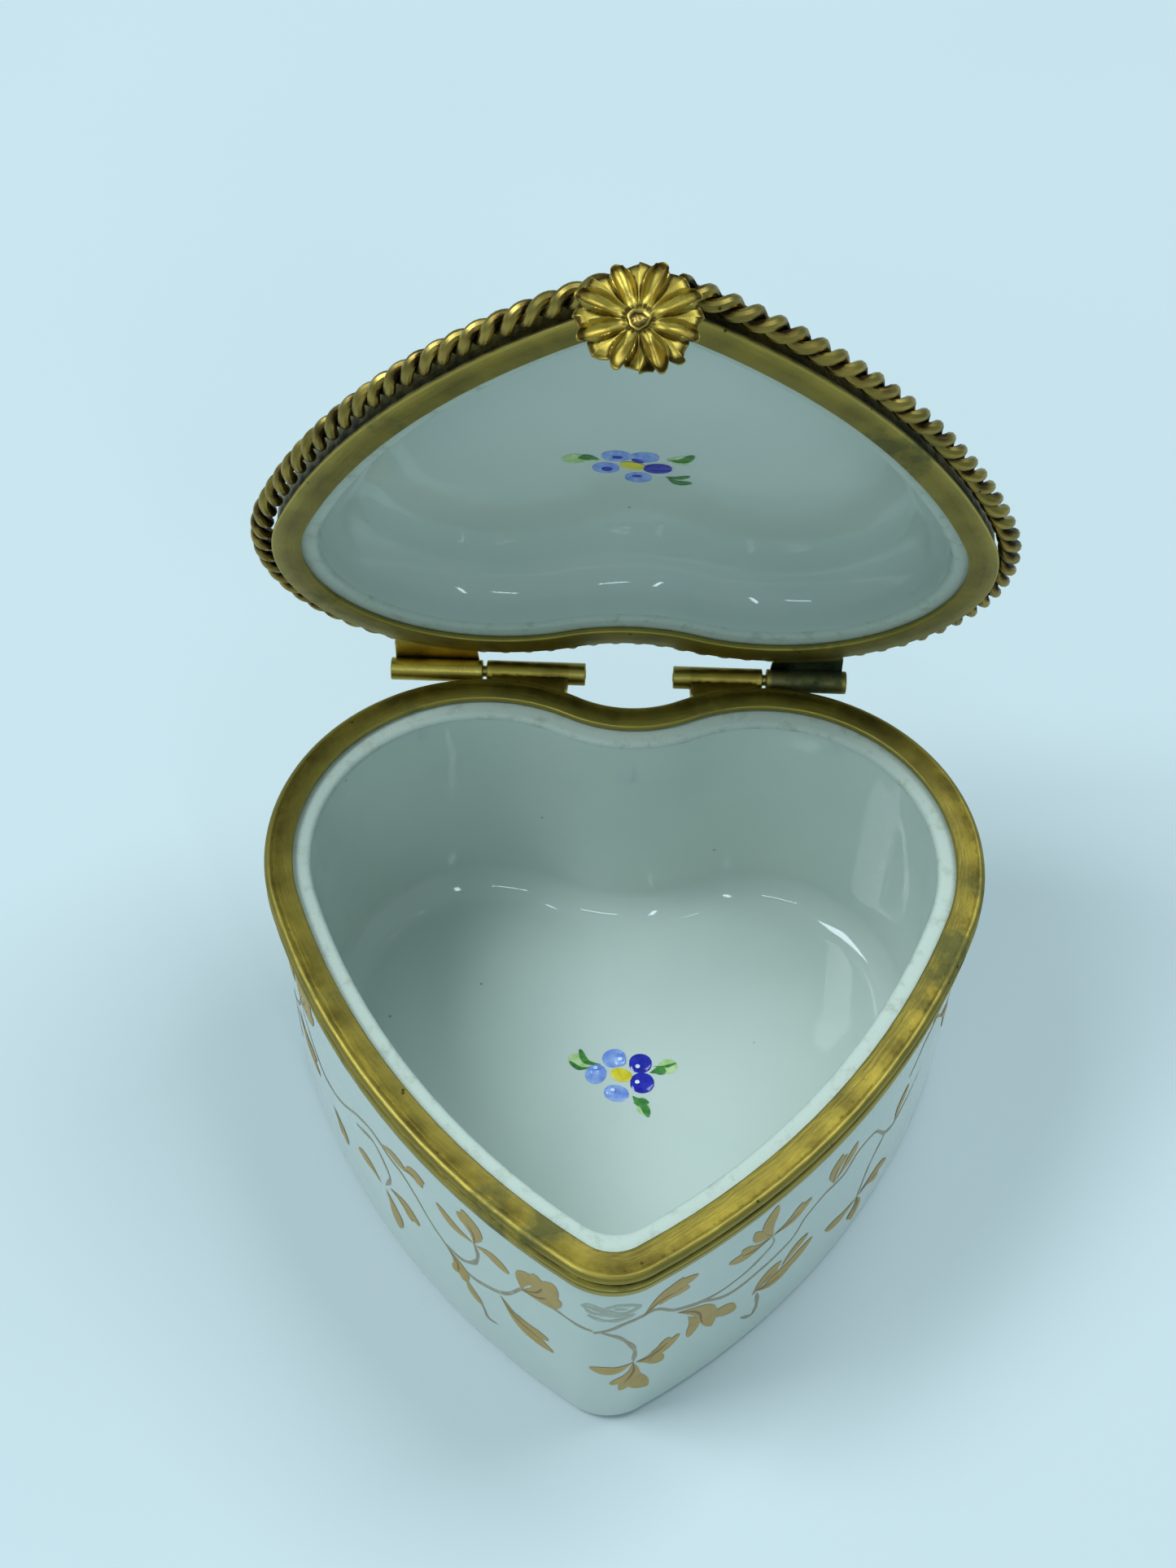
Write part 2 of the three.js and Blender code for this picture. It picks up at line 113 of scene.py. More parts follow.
def heart(grow, least_tip=0.4):
    """The heart grown by a distance, anticlockwise from its front point, in mm."""
    flank_r = FLANK_R + grow
    tip_r = max(TIP_R + grow, least_tip)
    tip_c = Vector((0, FLANK_C.y - math.sqrt((flank_r - tip_r) ** 2 - FLANK_C.x ** 2)))
    flank_start, flank_end = bearing(FLANK_C, tip_c), bearing(FLANK_C, LOBE_C)
    lobe_end = bearing(LOBE_C, CLEFT_C)
    arcs = [
        (tip_c, tip_r, -math.pi / 2, flank_start, ARC_STEPS["tip"]),
        (FLANK_C, flank_r, flank_start, flank_end, ARC_STEPS["flank"]),
        (LOBE_C, LOBE_R + grow, flank_end, lobe_end, ARC_STEPS["lobe"]),
        (CLEFT_C, CLEFT_R - grow, lobe_end - math.pi, -math.pi / 2, ARC_STEPS["cleft"]),
    ]
    half = []
    for centre, radius, start, end, steps in arcs:
        for i in range(steps):
            a = start + (end - start) * i / steps
            half.append((centre.x + radius * math.cos(a), centre.y + radius * math.sin(a)))
    cleft = (0, CLEFT_C.y - (CLEFT_R - grow))
    return np.array([*half, cleft, *[(-x, y) for x, y in reversed(half[1:])]])


def lengths(points):
    """Distance along a closed outline at each of its points, with the full round last."""
    steps = np.linalg.norm(np.diff(np.vstack([points, points[:1]]), axis=0), axis=1)
    return np.concatenate([[0], np.cumsum(steps)])


print(f"heart: {len(heart(0))} points, {lengths(heart(0))[-1]:.1f} mm round")

# %% [markdown]
# ## Pulling a skin up ring by ring
# Pots and bezels are shapes that follow one outline at many heights. By hand, this is a
# circle whose edge is extruded, set on the next outline, and extruded again. Each point
# remembers its place in the ring, so that the new edge can be set point by point. The
# skin also gets a UV map measured in mm: along the ring, and across the profile.

# %% Ring tools
WELD = 1e-4 * MM


def deselect():
    bpy.ops.object.select_all(action="DESELECT")


def pick(piece):
    """Makes a piece the only selected one, and the active one."""
    deselect()
    piece.select_set(True)
    bpy.context.view_layer.objects.active = piece


def face_out(weld=False):
    """Turns the active piece's faces outwards, after its seams are closed if asked."""
    bpy.ops.object.mode_set(mode="EDIT")
    bpy.ops.mesh.select_all(action="SELECT")
    if weld:
        bpy.ops.mesh.remove_doubles(threshold=WELD)
    bpy.ops.mesh.normals_make_consistent(inside=False)
    bpy.ops.object.mode_set(mode="OBJECT")


def set_ring(piece, ring, row):
    """Puts the selected points on a ring, each at its own place."""
    mesh = bmesh.from_edit_mesh(piece.data)
    place, level = mesh.verts.layers.int["place"], mesh.verts.layers.int["row"]
    for v in mesh.verts:
        if v.select:
            v.co = Vector(ring[v[place]]) * MM
            v[level] = row
    bmesh.update_edit_mesh(piece.data)


def measure_uv(piece, along, across):
    """Lays the map out in mm, and closes it where the ring and the profile meet themselves."""
    data = piece.data
    corners = np.zeros(len(data.loops), int)
    data.loops.foreach_get("vertex_index", corners)
    uv = np.zeros((len(corners), 2), np.float32)
    for axis, (layer, stations) in enumerate([("place", along), ("row", across)]):
        stored = np.zeros(len(data.vertices), np.int32)
        data.attributes[layer].data.foreach_get("value", stored)
        uv[:, axis] = np.array(stations)[stored[corners]]
        for face in data.polygons:
            ends = slice(face.loop_start, face.loop_start + face.loop_total)
            if face.loop_total == 4 and np.ptp(uv[ends, axis]) > stations[-1] / 2:
                uv[ends, axis] += stations[-1] * (uv[ends, axis] < stations[-1] / 2)
    data.uv_layers[0].data.foreach_set("uv", uv.ravel())


def skin(name, rings, closed=False):
    """A circle extruded once per ring. It closes on itself, or ends in two flat caps."""
    rings = [np.asarray(ring, float) for ring in rings]
    deselect()
    bpy.ops.mesh.primitive_circle_add(vertices=len(rings[0]), radius=10 * MM)
    piece = bpy.context.object
    piece.name = piece.data.name = name
    bpy.ops.object.mode_set(mode="EDIT")
    mesh = bmesh.from_edit_mesh(piece.data)
    for layer in ("place", "row"):
        mesh.verts.layers.int.new(layer)
    place = mesh.verts.layers.int["place"]
    mesh.verts.ensure_lookup_table()
    for i, v in enumerate(mesh.verts):
        v[place] = i
    set_ring(piece, rings[0], 0)
    for row, ring in enumerate(rings[1:] + (rings[:1] if closed else []), 1):
        bpy.ops.mesh.extrude_edges_move()
        set_ring(piece, ring, row)
    bpy.ops.mesh.select_all(action="SELECT")
    if closed:
        bpy.ops.mesh.remove_doubles(threshold=WELD)
    else:
        bpy.ops.mesh.fill_holes(sides=0)
    bpy.ops.mesh.select_all(action="SELECT")
    bpy.ops.mesh.normals_make_consistent(inside=False)
    bpy.ops.object.mode_set(mode="OBJECT")
    profile = np.array([ring[0] for ring in rings])
    measure_uv(piece, lengths(rings[0]), lengths(profile))
    return piece


# %% Smoothing, rubbed edges and painted shade
def smooth(piece, degrees):
    pick(piece)
    bpy.ops.object.shade_smooth_by_angle(angle=math.radians(degrees))


def note_wear_and_shade(piece, rounds=2):
    """Stores how hollow each point is: 0 on a sharp edge, 0.5 on the flat, 1 in a groove."""
    data = piece.data
    count = len(data.vertices)
    co, normal = np.zeros(count * 3, np.float32), np.zeros(count * 3, np.float32)
    data.vertices.foreach_get("co", co)
    data.vertices.foreach_get("normal", normal)
    co, normal = co.reshape(-1, 3), normal.reshape(-1, 3)
    ends = np.zeros(len(data.edges) * 2, np.int32)
    data.edges.foreach_get("vertices", ends)
    a, b = ends.reshape(-1, 2).T
    step = co[b] - co[a]
    step /= np.maximum(np.linalg.norm(step, axis=1, keepdims=True), 1e-12)
    hollow, near = np.zeros(count), np.zeros(count)
    np.add.at(hollow, a, (normal[a] * step).sum(1))
    np.add.at(hollow, b, -(normal[b] * step).sum(1))
    np.add.at(near, a, 1)
    np.add.at(near, b, 1)
    hollow /= np.maximum(near, 1)
    for _ in range(rounds):
        spread = hollow.copy()
        np.add.at(spread, a, hollow[b])
        np.add.at(spread, b, hollow[a])
        hollow = spread / (near + 1)
    # Hollow points are later painted dark, as tarnish and painted shade; sharp edges are rubbed
    # bright.
    layer = data.attributes.new("hollow", "FLOAT", "POINT")
    layer.data.foreach_set("value", np.clip(0.5 + 1.6 * hollow, 0, 1).astype(np.float32))


def corner(grow, z, r, start, end, steps=6):
    """Profile points on part of a circle, both ends included. Angles in degrees."""
    angles = np.radians(np.linspace(start, end, steps + 1))
    return [(grow + r * math.cos(a), z + r * math.sin(a)) for a in angles]


def heart_rings(profile, least_tip=0.4):
    return [np.column_stack([heart(g, least_tip), np.full(len(heart(g)), z)]) for g, z in profile]


def open_lid(piece):
    """Turns a piece that was made on the shut lid to where the lid stands open."""
    pivot = Matrix.Translation(Vector((0, HINGE_Y, HINGE_Z)) * MM)
    piece.data.transform(pivot @ Matrix.Rotation(-OPEN_ANGLE, 4, "X") @ pivot.inverted())
    piece.data.update()


def finish(piece, body, materials, node=None, degrees=35):
    """Smooths a piece, notes how hollow it is for rubbed edges and painted shade, paints it, and
    hangs it on its body.
    """
    smooth(piece, degrees)
    note_wear_and_shade(piece)
    for layer in ("place", "row"):
        if layer in piece.data.attributes:
            piece.data.attributes.remove(piece.data.attributes[layer])
    while len(piece.data.materials) < len(materials):
        piece.data.materials.append(materials[len(piece.data.materials)])
    if body == "lid":
        open_lid(piece)
    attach(piece, body)
    if node:
        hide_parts(node)
    print(f"{piece.name}: {len(piece.data.polygons)} faces on {body}")

# %% [markdown]
# ## Tools for finishes
# Every finish is a small network of nodes. One function adds a node, sets it and links it,
# and one turns a colour given as an sRGB hex value into the linear numbers that
# Blender mixes with. Pattern scales are waves per metre, so they come from a size in mm.

# %% Finish tools
def ink(code):
    channels = [int(code[i:i + 2], 16) / 255 for i in (0, 2, 4)]
    return (*[c / 12.92 if c <= 0.04045 else ((c + 0.055) / 1.055) ** 2.4 for c in channels], 1)


def per_mm(size):
    """The scale of a pattern whose features are this many mm across."""
    return 1 / (size * MM)


def add(tree, kind, inputs, out=0, to=None, **settings):
    """Adds a node, sets it, links it in and on to a shader, and gives one of its outputs."""
    node = tree.nodes.new("ShaderNode" + kind)
    for name, value in settings.items():
        setattr(node, name, value)
    for key, value in inputs.items():
        if isinstance(value, bpy.types.NodeSocket):
            tree.links.new(value, node.inputs[key])
        else:
            node.inputs[key].default_value = value
    if to:
        tree.links.new(node.outputs[out], to)
    return node.outputs[out]


def new_finish(name, **settings):
    """An empty finish: its node tree, its shader's inputs, and the place on the object."""
    material = bpy.data.materials.new(name)
    material.use_nodes = True
    tree = material.node_tree
    shader = tree.nodes["Principled BSDF"].inputs
    for key, value in settings.items():
        shader[key.replace("_", " ")].default_value = value
    return material, tree, shader, add(tree, "TexCoord", {}, out=3)

# %% [markdown]
# ## Glazed hard porcelain
# The box is slip-cast hard-paste porcelain under a clear feldspar glaze. The eye sees a
# cool white, very smooth surface with sharp but slightly wavering reflections, because the
# glaze ran before it set. So the gloss is high, a slow bump bends reflections, and the
# body colour drifts a little between cool and warm. A few dark kiln specks are left in.

# %% Glaze
def glazed_porcelain():
    material, tree, shader, here = new_finish("glazed_porcelain", IOR=1.5)
    drift = add(tree, "TexNoise", {"Vector": here, "Scale": per_mm(14), "Detail": 2})
    body = add(tree, "Mix", {0: drift, 6: ink("bac7bf"), 7: ink("cbd3ca")}, out=2, data_type="RGBA")
    specks = add(tree, "TexVoronoi", {"Vector": here, "Scale": per_mm(5.5)})
    speck = add(tree, "MapRange", {0: specks, 1: 0.02, 2: 0.035, 3: 0.55, 4: 0})
    add(tree, "Mix", {0: speck, 6: body, 7: ink("6d6f62")}, out=2, data_type="RGBA",
        to=shader["Base Color"])
    film = add(tree, "TexNoise", {"Vector": here, "Scale": per_mm(3), "Detail": 4})
    add(tree, "MapRange", {0: film, 1: 0.35, 2: 0.7, 3: 0.03, 4: 0.08}, to=shader["Roughness"])
    run = add(tree, "TexNoise", {"Vector": here, "Scale": per_mm(7), "Detail": 1})
    slow = add(tree, "Bump", {"Height": run, "Strength": 0.12, "Distance": 0.7 * MM})
    peel = add(tree, "TexNoise", {"Vector": here, "Scale": per_mm(0.9), "Detail": 2})
    add(tree, "Bump", {"Height": peel, "Strength": 0.06, "Distance": 0.05 * MM, "Normal": slow},
        to=shader["Normal"])
    return material


def biscuit_porcelain():
    """The lip that the bezel hides: wiped clean of glaze, so it fired matt, white and chalky."""
    material, tree, shader, here = new_finish("biscuit_porcelain", IOR=1.5)
    stain = add(tree, "TexNoise", {"Vector": here, "Scale": per_mm(1.6), "Detail": 5,
                                   "Roughness": 0.7})
    share = add(tree, "MapRange", {0: stain, 1: 0.52, 2: 0.7, 3: 0, 4: 0.45})
    add(tree, "Mix", {0: share, 6: ink("b9c2b6"), 7: ink("878d74")}, out=2, data_type="RGBA",
        to=shader["Base Color"])
    add(tree, "MapRange", {0: stain, 1: 0.3, 2: 0.7, 3: 0.6, 4: 0.9}, to=shader["Roughness"])
    grit = add(tree, "TexNoise", {"Vector": here, "Scale": per_mm(0.3), "Detail": 3})
    add(tree, "Bump", {"Height": grit, "Strength": 0.5, "Distance": 0.08 * MM},
        to=shader["Normal"])
    return material


GLAZE, BISCUIT = glazed_porcelain(), biscuit_porcelain()
print("porcelain:", [(m.name, len(m.node_tree.nodes)) for m in (GLAZE, BISCUIT)])

# %% [markdown]
# ## Gilt brass
# The mounts are drawn and stamped brass with a thin gilding, handled for decades. Edges are
# rubbed bright, and damp has left grey-green patches. Grooves are painted dark: partly the
# brown tarnish they hold, partly painted shade where little light reaches in. The stored
# hollow value places the dark and the bright, and noise breaks them up. Brushing is drawn
# along the ring from the UV map: the real lines are finer than 0.1 mm, too fine to show, so
# they are drawn about 0.25 mm apart.

# %% Brass
BRUSH_GAP = 0.25
BRUSH_LENGTH = 2


def gilt_brass(name, bright, dull, tarnish_and_shade_colour, tarnish_and_shade_from, rough, patches=0.0, brushed=True):
    material, tree, shader, here = new_finish(name, Metallic=1)
    hollow = add(tree, "Attribute", {}, out=2, attribute_name="hollow")
    tone = add(tree, "TexNoise", {"Vector": here, "Scale": per_mm(3.2), "Detail": 4})
    share = add(tree, "MapRange", {0: tone, 1: 0.35, 2: 0.65})
    metal = add(tree, "Mix", {0: share, 6: ink(bright), 7: ink(dull)}, out=2, data_type="RGBA")
    rubbed = add(tree, "MapRange", {0: hollow, 1: 0.32, 2: 0.47, 3: 0.75, 4: 0})
    metal = add(tree, "Mix", {0: rubbed, 6: metal, 7: ink("b8a454")}, out=2, data_type="RGBA")
    fine = add(tree, "TexNoise", {"Vector": here, "Scale": per_mm(0.7), "Detail": 5,
                                  "Roughness": 0.7})
    uneven = add(tree, "Math", {0: fine, 1: 0.35, 2: hollow}, operation="MULTIPLY_ADD")
    # Grooves and hollows get a dark colour: brown tarnish, and painted shade where little light
    # reaches.
    tarnish_and_shade = add(tree, "MapRange", {0: uneven, 1: tarnish_and_shade_from, 2: tarnish_and_shade_from + 0.16, 3: 0, 4: 0.92})
    metal = add(tree, "Mix", {0: tarnish_and_shade, 6: metal, 7: ink(tarnish_and_shade_colour)}, out=2, data_type="RGBA")
    damp = add(tree, "TexNoise", {"Vector": here, "Scale": per_mm(8), "Detail": 6,
                                  "Roughness": 0.62})
    patch = add(tree, "MapRange", {0: damp, 1: 0.56, 2: 0.66, 3: 0, 4: patches})
    metal = add(tree, "Mix", {0: patch, 6: metal, 7: ink("50573a")}, out=2, data_type="RGBA")
    pits = add(tree, "TexVoronoi", {"Vector": here, "Scale": per_mm(2.6)})
    pit = add(tree, "MapRange", {0: pits, 1: 0.03, 2: 0.07, 3: 0.85, 4: 0})
    add(tree, "Mix", {0: pit, 6: metal, 7: ink("2c2415")}, out=2, data_type="RGBA",
        to=shader["Base Color"])
    spread = add(tree, "Math", {0: patch, 1: 0.3, 2: rough}, operation="MULTIPLY_ADD")
    spread = add(tree, "Math", {0: tarnish_and_shade, 1: 0.22, 2: spread}, operation="MULTIPLY_ADD")
    add(tree, "Math", {0: fine, 1: 0.16, 2: spread}, operation="MULTIPLY_ADD",
        to=shader["Roughness"])
    relief = add(tree, "Bump", {"Height": fine, "Strength": 0.25, "Distance": 0.06 * MM})
    if brushed:
        lay = add(tree, "UVMap", {})
        lay = add(tree, "Mapping", {"Vector": lay,
                                    "Scale": (1 / BRUSH_LENGTH, 1 / BRUSH_GAP, 1)})
        lines = add(tree, "TexNoise", {"Vector": lay, "Scale": 1, "Detail": 4})
        relief = add(tree, "Bump", {"Height": lines, "Strength": 0.8, "Distance": 0.04 * MM,
                                    "Normal": relief})
    tree.links.new(relief, shader["Normal"])
    return material


BEZEL_BRASS = gilt_brass("gilt_bezel_brass", "86742f", "594c20", "1d1707", 0.69, 0.38, 0.6)
ROPE_BRASS = gilt_brass("rope_brass_tarnish_and_painted_shade", "967b3e", "665029", "1c1408", 0.66, 0.28, 0.3,
                        brushed=False)
DAISY_BRASS = gilt_brass("stamped_daisy_brass", "b39c46", "8d7835", "34230d", 0.70, 0.32, 0.15,
                         brushed=False)
TUBE_BRASS = gilt_brass("hinge_tube_brass", "a8913f", "7d6a31", "33260d", 0.72, 0.28, 0.2)
BRIGHT_TUBE_BRASS = gilt_brass("bright_tube_brass", "cfb455", "a68c3e", "4a3813", 0.74, 0.26, 0)
GREEN_TUBE_BRASS = gilt_brass("damp_tube_brass", "6b6a4a", "38433a", "14180f", 0.62, 0.4, 0.9)
PIN_BRASS = gilt_brass("hinge_pin_brass", "8b8257", "6a6244", "1f1a10", 0.70, 0.32, 0.4,
                       brushed=False)
print("brass:", [m.name for m in (BEZEL_BRASS, ROPE_BRASS, DAISY_BRASS, TUBE_BRASS,
                                  BRIGHT_TUBE_BRASS, GREEN_TUBE_BRASS, PIN_BRASS)])

# %% [markdown]
# ## The bowl
# The bowl is a straight wall on a flat floor, cast in one piece. Its profile is drawn once:
# round the foot, up the wall, across the lip, down inside and round into the floor. The
# rings follow it. The lip's faces get the biscuit finish, because the glaze stops there.

# %% Bowl
BOWL_OUT = -0.8
BOWL_INNER = -3.9
BOWL_DRAFT = 0.1
FOOT_R = 1.0
FLOOR_Z = 3.2
FLOOR_R = 3.0
LIP_R = 0.5
WARE_TIP_R = 4.0
LIP_REACH = 0.28       # faces of the lip nearer the inner wall than this are still glazed


def bare_lip(piece, low, high, inner):
    """Gives the second finish to the faces of the lip, which lie outside the inner wall."""
    edge = heart(inner, WARE_TIP_R)
    for face in piece.data.polygons:
        z = face.center.z / MM
        if low < z < high and len(face.vertices) == 4:
            near = np.linalg.norm(edge - np.array(face.center.xy) / MM, axis=1).min()
            face.material_index = int(near > LIP_REACH)


foot = BOWL_OUT - BOWL_DRAFT
bowl_profile = [
    *corner(foot - FOOT_R, FOOT_R, FOOT_R, -90, 0, 8),
    *[(foot + BOWL_DRAFT * t, FOOT_R + (BOWL_HIGH.z - 3 - FOOT_R) * t) for t in (0.33, 0.66, 1)],
    (BOWL_OUT, BOWL_HIGH.z - 0.15), (BOWL_OUT - 0.15, BOWL_HIGH.z),
    ((BOWL_OUT + BOWL_INNER) / 2, BOWL_HIGH.z),
    *corner(BOWL_INNER + LIP_R, BOWL_HIGH.z - LIP_R, LIP_R, 90, 180, 5),
    *[(BOWL_INNER, z) for z in (22, 14, FLOOR_Z + FLOOR_R + 3)],
    *corner(BOWL_INNER - FLOOR_R, FLOOR_Z + FLOOR_R, FLOOR_R, 0, -90, 10),
]
bowl = skin("bowl_porcelain", heart_rings(bowl_profile, WARE_TIP_R))
bare_lip(bowl, BOWL_HIGH.z - LIP_R, BOWL_HIGH.z + 1, BOWL_INNER)
finish(bowl, "base", [GLAZE, BISCUIT], "porcelain_bowl")

# %% [markdown]
# ## The base bezel
# A drawn brass strip is folded over the lip: a flat flange on top, and a side rolled into
# three beads. The beads are what catch the light as thin lines, so they are real rounds in
# the profile, with narrow grooves between them.

# %% Base bezel
BAND_T = 0.7
FLANGE_W = 2.4
FLANGE_T = 0.6
BEAD_R = 0.34
TOP_BEAD_R = 0.53
GROOVE = 0.42
BEZEL_FOOT = RIM_Z - 3.2

bezel_profile = [
    (-BAND_T, BEZEL_FOOT),
    (-0.28, BEZEL_FOOT),
    *corner(-0.3, BEZEL_FOOT + 0.12, 0.12, -60, 0, 2),
    (-0.16, BEZEL_FOOT + 0.7), (-0.34, BEZEL_FOOT + 0.86), (-GROOVE, BEZEL_FOOT + 0.98),
    *corner(-BEAD_R, BEZEL_FOOT + 1.42, BEAD_R, -70, 70),
    (-GROOVE, BEZEL_FOOT + 1.86), (-0.52, BEZEL_FOOT + 2.0), (-GROOVE, BEZEL_FOOT + 2.12),
    *corner(-0.55, RIM_Z - TOP_BEAD_R, TOP_BEAD_R, -60, 90, 10),
    (-0.72, RIM_Z - 0.05), (-0.86, RIM_Z),
    (-1.5, RIM_Z),
    *corner(-FLANGE_W + 0.14, RIM_Z - 0.14, 0.14, 90, 180, 3),
    (-FLANGE_W, RIM_Z - 0.5), (-FLANGE_W + 0.1, RIM_Z - FLANGE_T),
    (-BAND_T, RIM_Z - FLANGE_T),
]
bezel = skin("base_bezel_brass", heart_rings(bezel_profile), closed=True)
finish(bezel, "base", [BEZEL_BRASS], "base_bezel", 50)

# %% [markdown]
# ## The lid
# The lid is a shallow dish turned over: a hollow with a round corner inside, and a low dome
# outside. It is made shut, where its heart lies level, and turned open about the hinge.

# %% Lid porcelain
LID_OUT = -1.7
LID_INNER = -4.5
LIP_UNDER = JOINT_Z + 0.6
CEILING = JOINT_Z + 5.6
LID_CORNER = 3.5
SHOULDER = JOINT_Z + 3.4
DOME_RISE = 5.3
DOME_IN = 13
DOME_STEPS = 14

dome = [(LID_OUT, SHOULDER - 0.3), (LID_OUT - 0.07, SHOULDER - 0.02),
        (LID_OUT - 0.28, SHOULDER + 0.2)]
for i in range(1, DOME_STEPS + 1):
    t = i / DOME_STEPS
    dome.append((LID_OUT - DOME_IN * t, SHOULDER + DOME_RISE * (1 - (1 - t) ** 2)))
lid_profile = [
    *corner(LID_INNER - LID_CORNER, CEILING - LID_CORNER, LID_CORNER, 90, 0, 12),
    (LID_INNER, LIP_UNDER + LIP_R + 0.6),
    *corner(LID_INNER + LIP_R, LIP_UNDER + LIP_R, LIP_R, 180, 270, 5),
    ((LID_OUT + LID_INNER) / 2, LIP_UNDER),
    (LID_OUT - 0.15, LIP_UNDER), (LID_OUT, LIP_UNDER + 0.15),
    *dome,
]
lid = skin("lid_porcelain", heart_rings(lid_profile, WARE_TIP_R))
bare_lip(lid, LIP_UNDER - 1, LIP_UNDER + LIP_R, LID_INNER)
finish(lid, "lid", [GLAZE, BISCUIT], "porcelain_lid", 40)

# %% [markdown]
# ## The lid bezel
# The lid's brass is an angle: a flat flange that meets the base's, and a low wall that grips
# the porcelain and carries the rope. Its outer edge is turned down in a small round.

# %% Lid bezel
LID_EDGE = -0.75
LID_FLANGE_W = 2.4
LID_FLANGE_T = 0.5
LID_BAND = -1.05
LID_BAND_T = 0.55
LID_BAND_H = 3.1

lid_bezel_profile = [
    (LID_EDGE - 0.16, JOINT_Z),
    *corner(LID_EDGE - 0.2, JOINT_Z + 0.2, 0.2, -60, 60, 4),
    (LID_EDGE - 0.15, JOINT_Z + LID_FLANGE_T),
    (LID_BAND, JOINT_Z + LID_FLANGE_T + 0.06),
    (LID_BAND, JOINT_Z + 2), (LID_BAND, JOINT_Z + LID_BAND_H - 0.12),
    *corner(LID_BAND - 0.12, JOINT_Z + LID_BAND_H - 0.12, 0.12, 30, 90, 2),
    (LID_BAND - LID_BAND_T, JOINT_Z + LID_BAND_H),
    (LID_BAND - LID_BAND_T, JOINT_Z + LID_FLANGE_T),
    (LID_EDGE - LID_FLANGE_W + 0.1, JOINT_Z + LID_FLANGE_T),
    *corner(LID_EDGE - LID_FLANGE_W + 0.13, JOINT_Z + 0.13, 0.13, 180, 270, 3),
    (-1.9, JOINT_Z),
]
lid_bezel = skin("lid_bezel_brass", heart_rings(lid_bezel_profile), closed=True)
finish(lid_bezel, "lid", [BEZEL_BRASS], "lid_bezel", 50)

# %% [markdown]
# ## The twisted rope
# Two brass wires are twisted together and laid round the lid on the flange, from one side
# of the daisy to the other. A helix that follows a heart is a curve, so each wire is one:
# its points turn round the rope's centre line while that line follows the outline, and a
# round bevel gives it the wire's thickness. It is made a mesh before it is placed.

# %% Rope wires
WIRE_R = 0.475
WIRE_CENTRE = 0.485
ROPE_PITCH = 4.0
ROPE_GROW = 0.1
ROPE_Z = JOINT_Z + 1.43
ROPE_BREAK = 4.77
STEPS_PER_TURN = 18
LOOK = 0.3             # how far ahead and behind a line's direction is read


def walk(outline, start, stop, step):
    """Points and outward normals at even steps along a closed outline."""
    run = lengths(outline)
    s = np.linspace(start, stop, max(2, round((stop - start) / step)))
    loop = np.vstack([outline, outline[:1]])
    at = np.column_stack([np.interp(s % run[-1], run, loop[:, k]) for k in (0, 1)])
    ahead = np.column_stack([np.interp((s + LOOK) % run[-1], run, loop[:, k]) for k in (0, 1)])
    behind = np.column_stack([np.interp((s - LOOK) % run[-1], run, loop[:, k]) for k in (0, 1)])
    along = ahead - behind
    along /= np.linalg.norm(along, axis=1, keepdims=True)
    return s, at, np.column_stack([along[:, 1], -along[:, 0]])


def curve_piece(name, splines, thickness, sides=3):
    """Round-bevelled curves from lists of (x, y, z, width) in mm, made into one mesh."""
    data = bpy.data.curves.new(name, "CURVE")
    data.dimensions = "3D"
    data.bevel_depth = thickness * MM
    data.bevel_resolution = sides
    data.use_fill_caps = True
    for points in splines:
        spline = data.splines.new("POLY")
        spline.points.add(len(points) - 1)
        for target, (x, y, z, width) in zip(spline.points, points):
            target.co = (x * MM, y * MM, z * MM, 1)
            target.radius = width
    piece = bpy.data.objects.new(name, data)
    bpy.context.collection.objects.link(piece)
    pick(piece)
    bpy.ops.object.convert(target="MESH")
    piece = bpy.context.object
    piece.name = piece.data.name = name
    face_out(weld=True)
    return piece


def crevice_shade_share(point):
    """How hollow a point of a wire is marked: the side that faces the other wire is painted dark, as
    shade between the wires with some tarnish.
    """
    aside = np.linalg.norm(rope_line - np.array(point[:2]), axis=1).min()
    from_middle = math.hypot(aside, point[2] - ROPE_Z)
    return min(1, max(0.4, 1.32 - 0.98 * from_middle))


rope_line = heart(ROPE_GROW)
rope_round = lengths(rope_line)[-1]
for letter, phase in (("a", 0), ("b", math.pi)):
    s, at, out = walk(rope_line, ROPE_BREAK / 2, rope_round - ROPE_BREAK / 2,
                      ROPE_PITCH / STEPS_PER_TURN)
    turn = phase + 2 * math.pi * s / ROPE_PITCH
    place = at + out * (WIRE_CENTRE * np.cos(turn))[:, None]
    wire = curve_piece(f"rope_wire_{letter}_twisted", [np.column_stack(
        [place, ROPE_Z + WIRE_CENTRE * np.sin(turn), np.ones(len(s))])], WIRE_R)
    crevice_shade = np.array([crevice_shade_share(v.co / MM) for v in wire.data.vertices], np.float32)
    finish(wire, "lid", [ROPE_BRASS], f"rope_wire_{letter}")
    # The inner sides of the wires are painted dark: shade between the two wires, and tarnish.
    wire.data.attributes["hollow"].data.foreach_set("value", crevice_shade)

# %% [markdown]
# ## The hinges
# Each hinge has two rolled tubes with a pin through them: one soldered to the base, one to
# the lid. A tube and its leaf are one bent strip, so its cross-section is drawn as a round
# with a tongue, and that section is extruded along the hinge line in stations. At the ends
# the tongue sinks back into the round, as the solder does. The bore is then cut out.

# %% Hinge knuckles
KNUCKLE_R = 1.0
BORE_R = 0.56
LEAF_INSET = 0.35
INNER_INSET = 1.1      # the base's leaf starts this much further from the middle
TUBE_STEPS = 30
TUBE_END = 0.07        # the tube's ends are eased over this length
END_SHARE = 0.93       # to this share of its radius
SINK = 0.12            # over this length the leaf starts to rise from the round
OVERRUN = 2            # how much longer the drill is than the tube


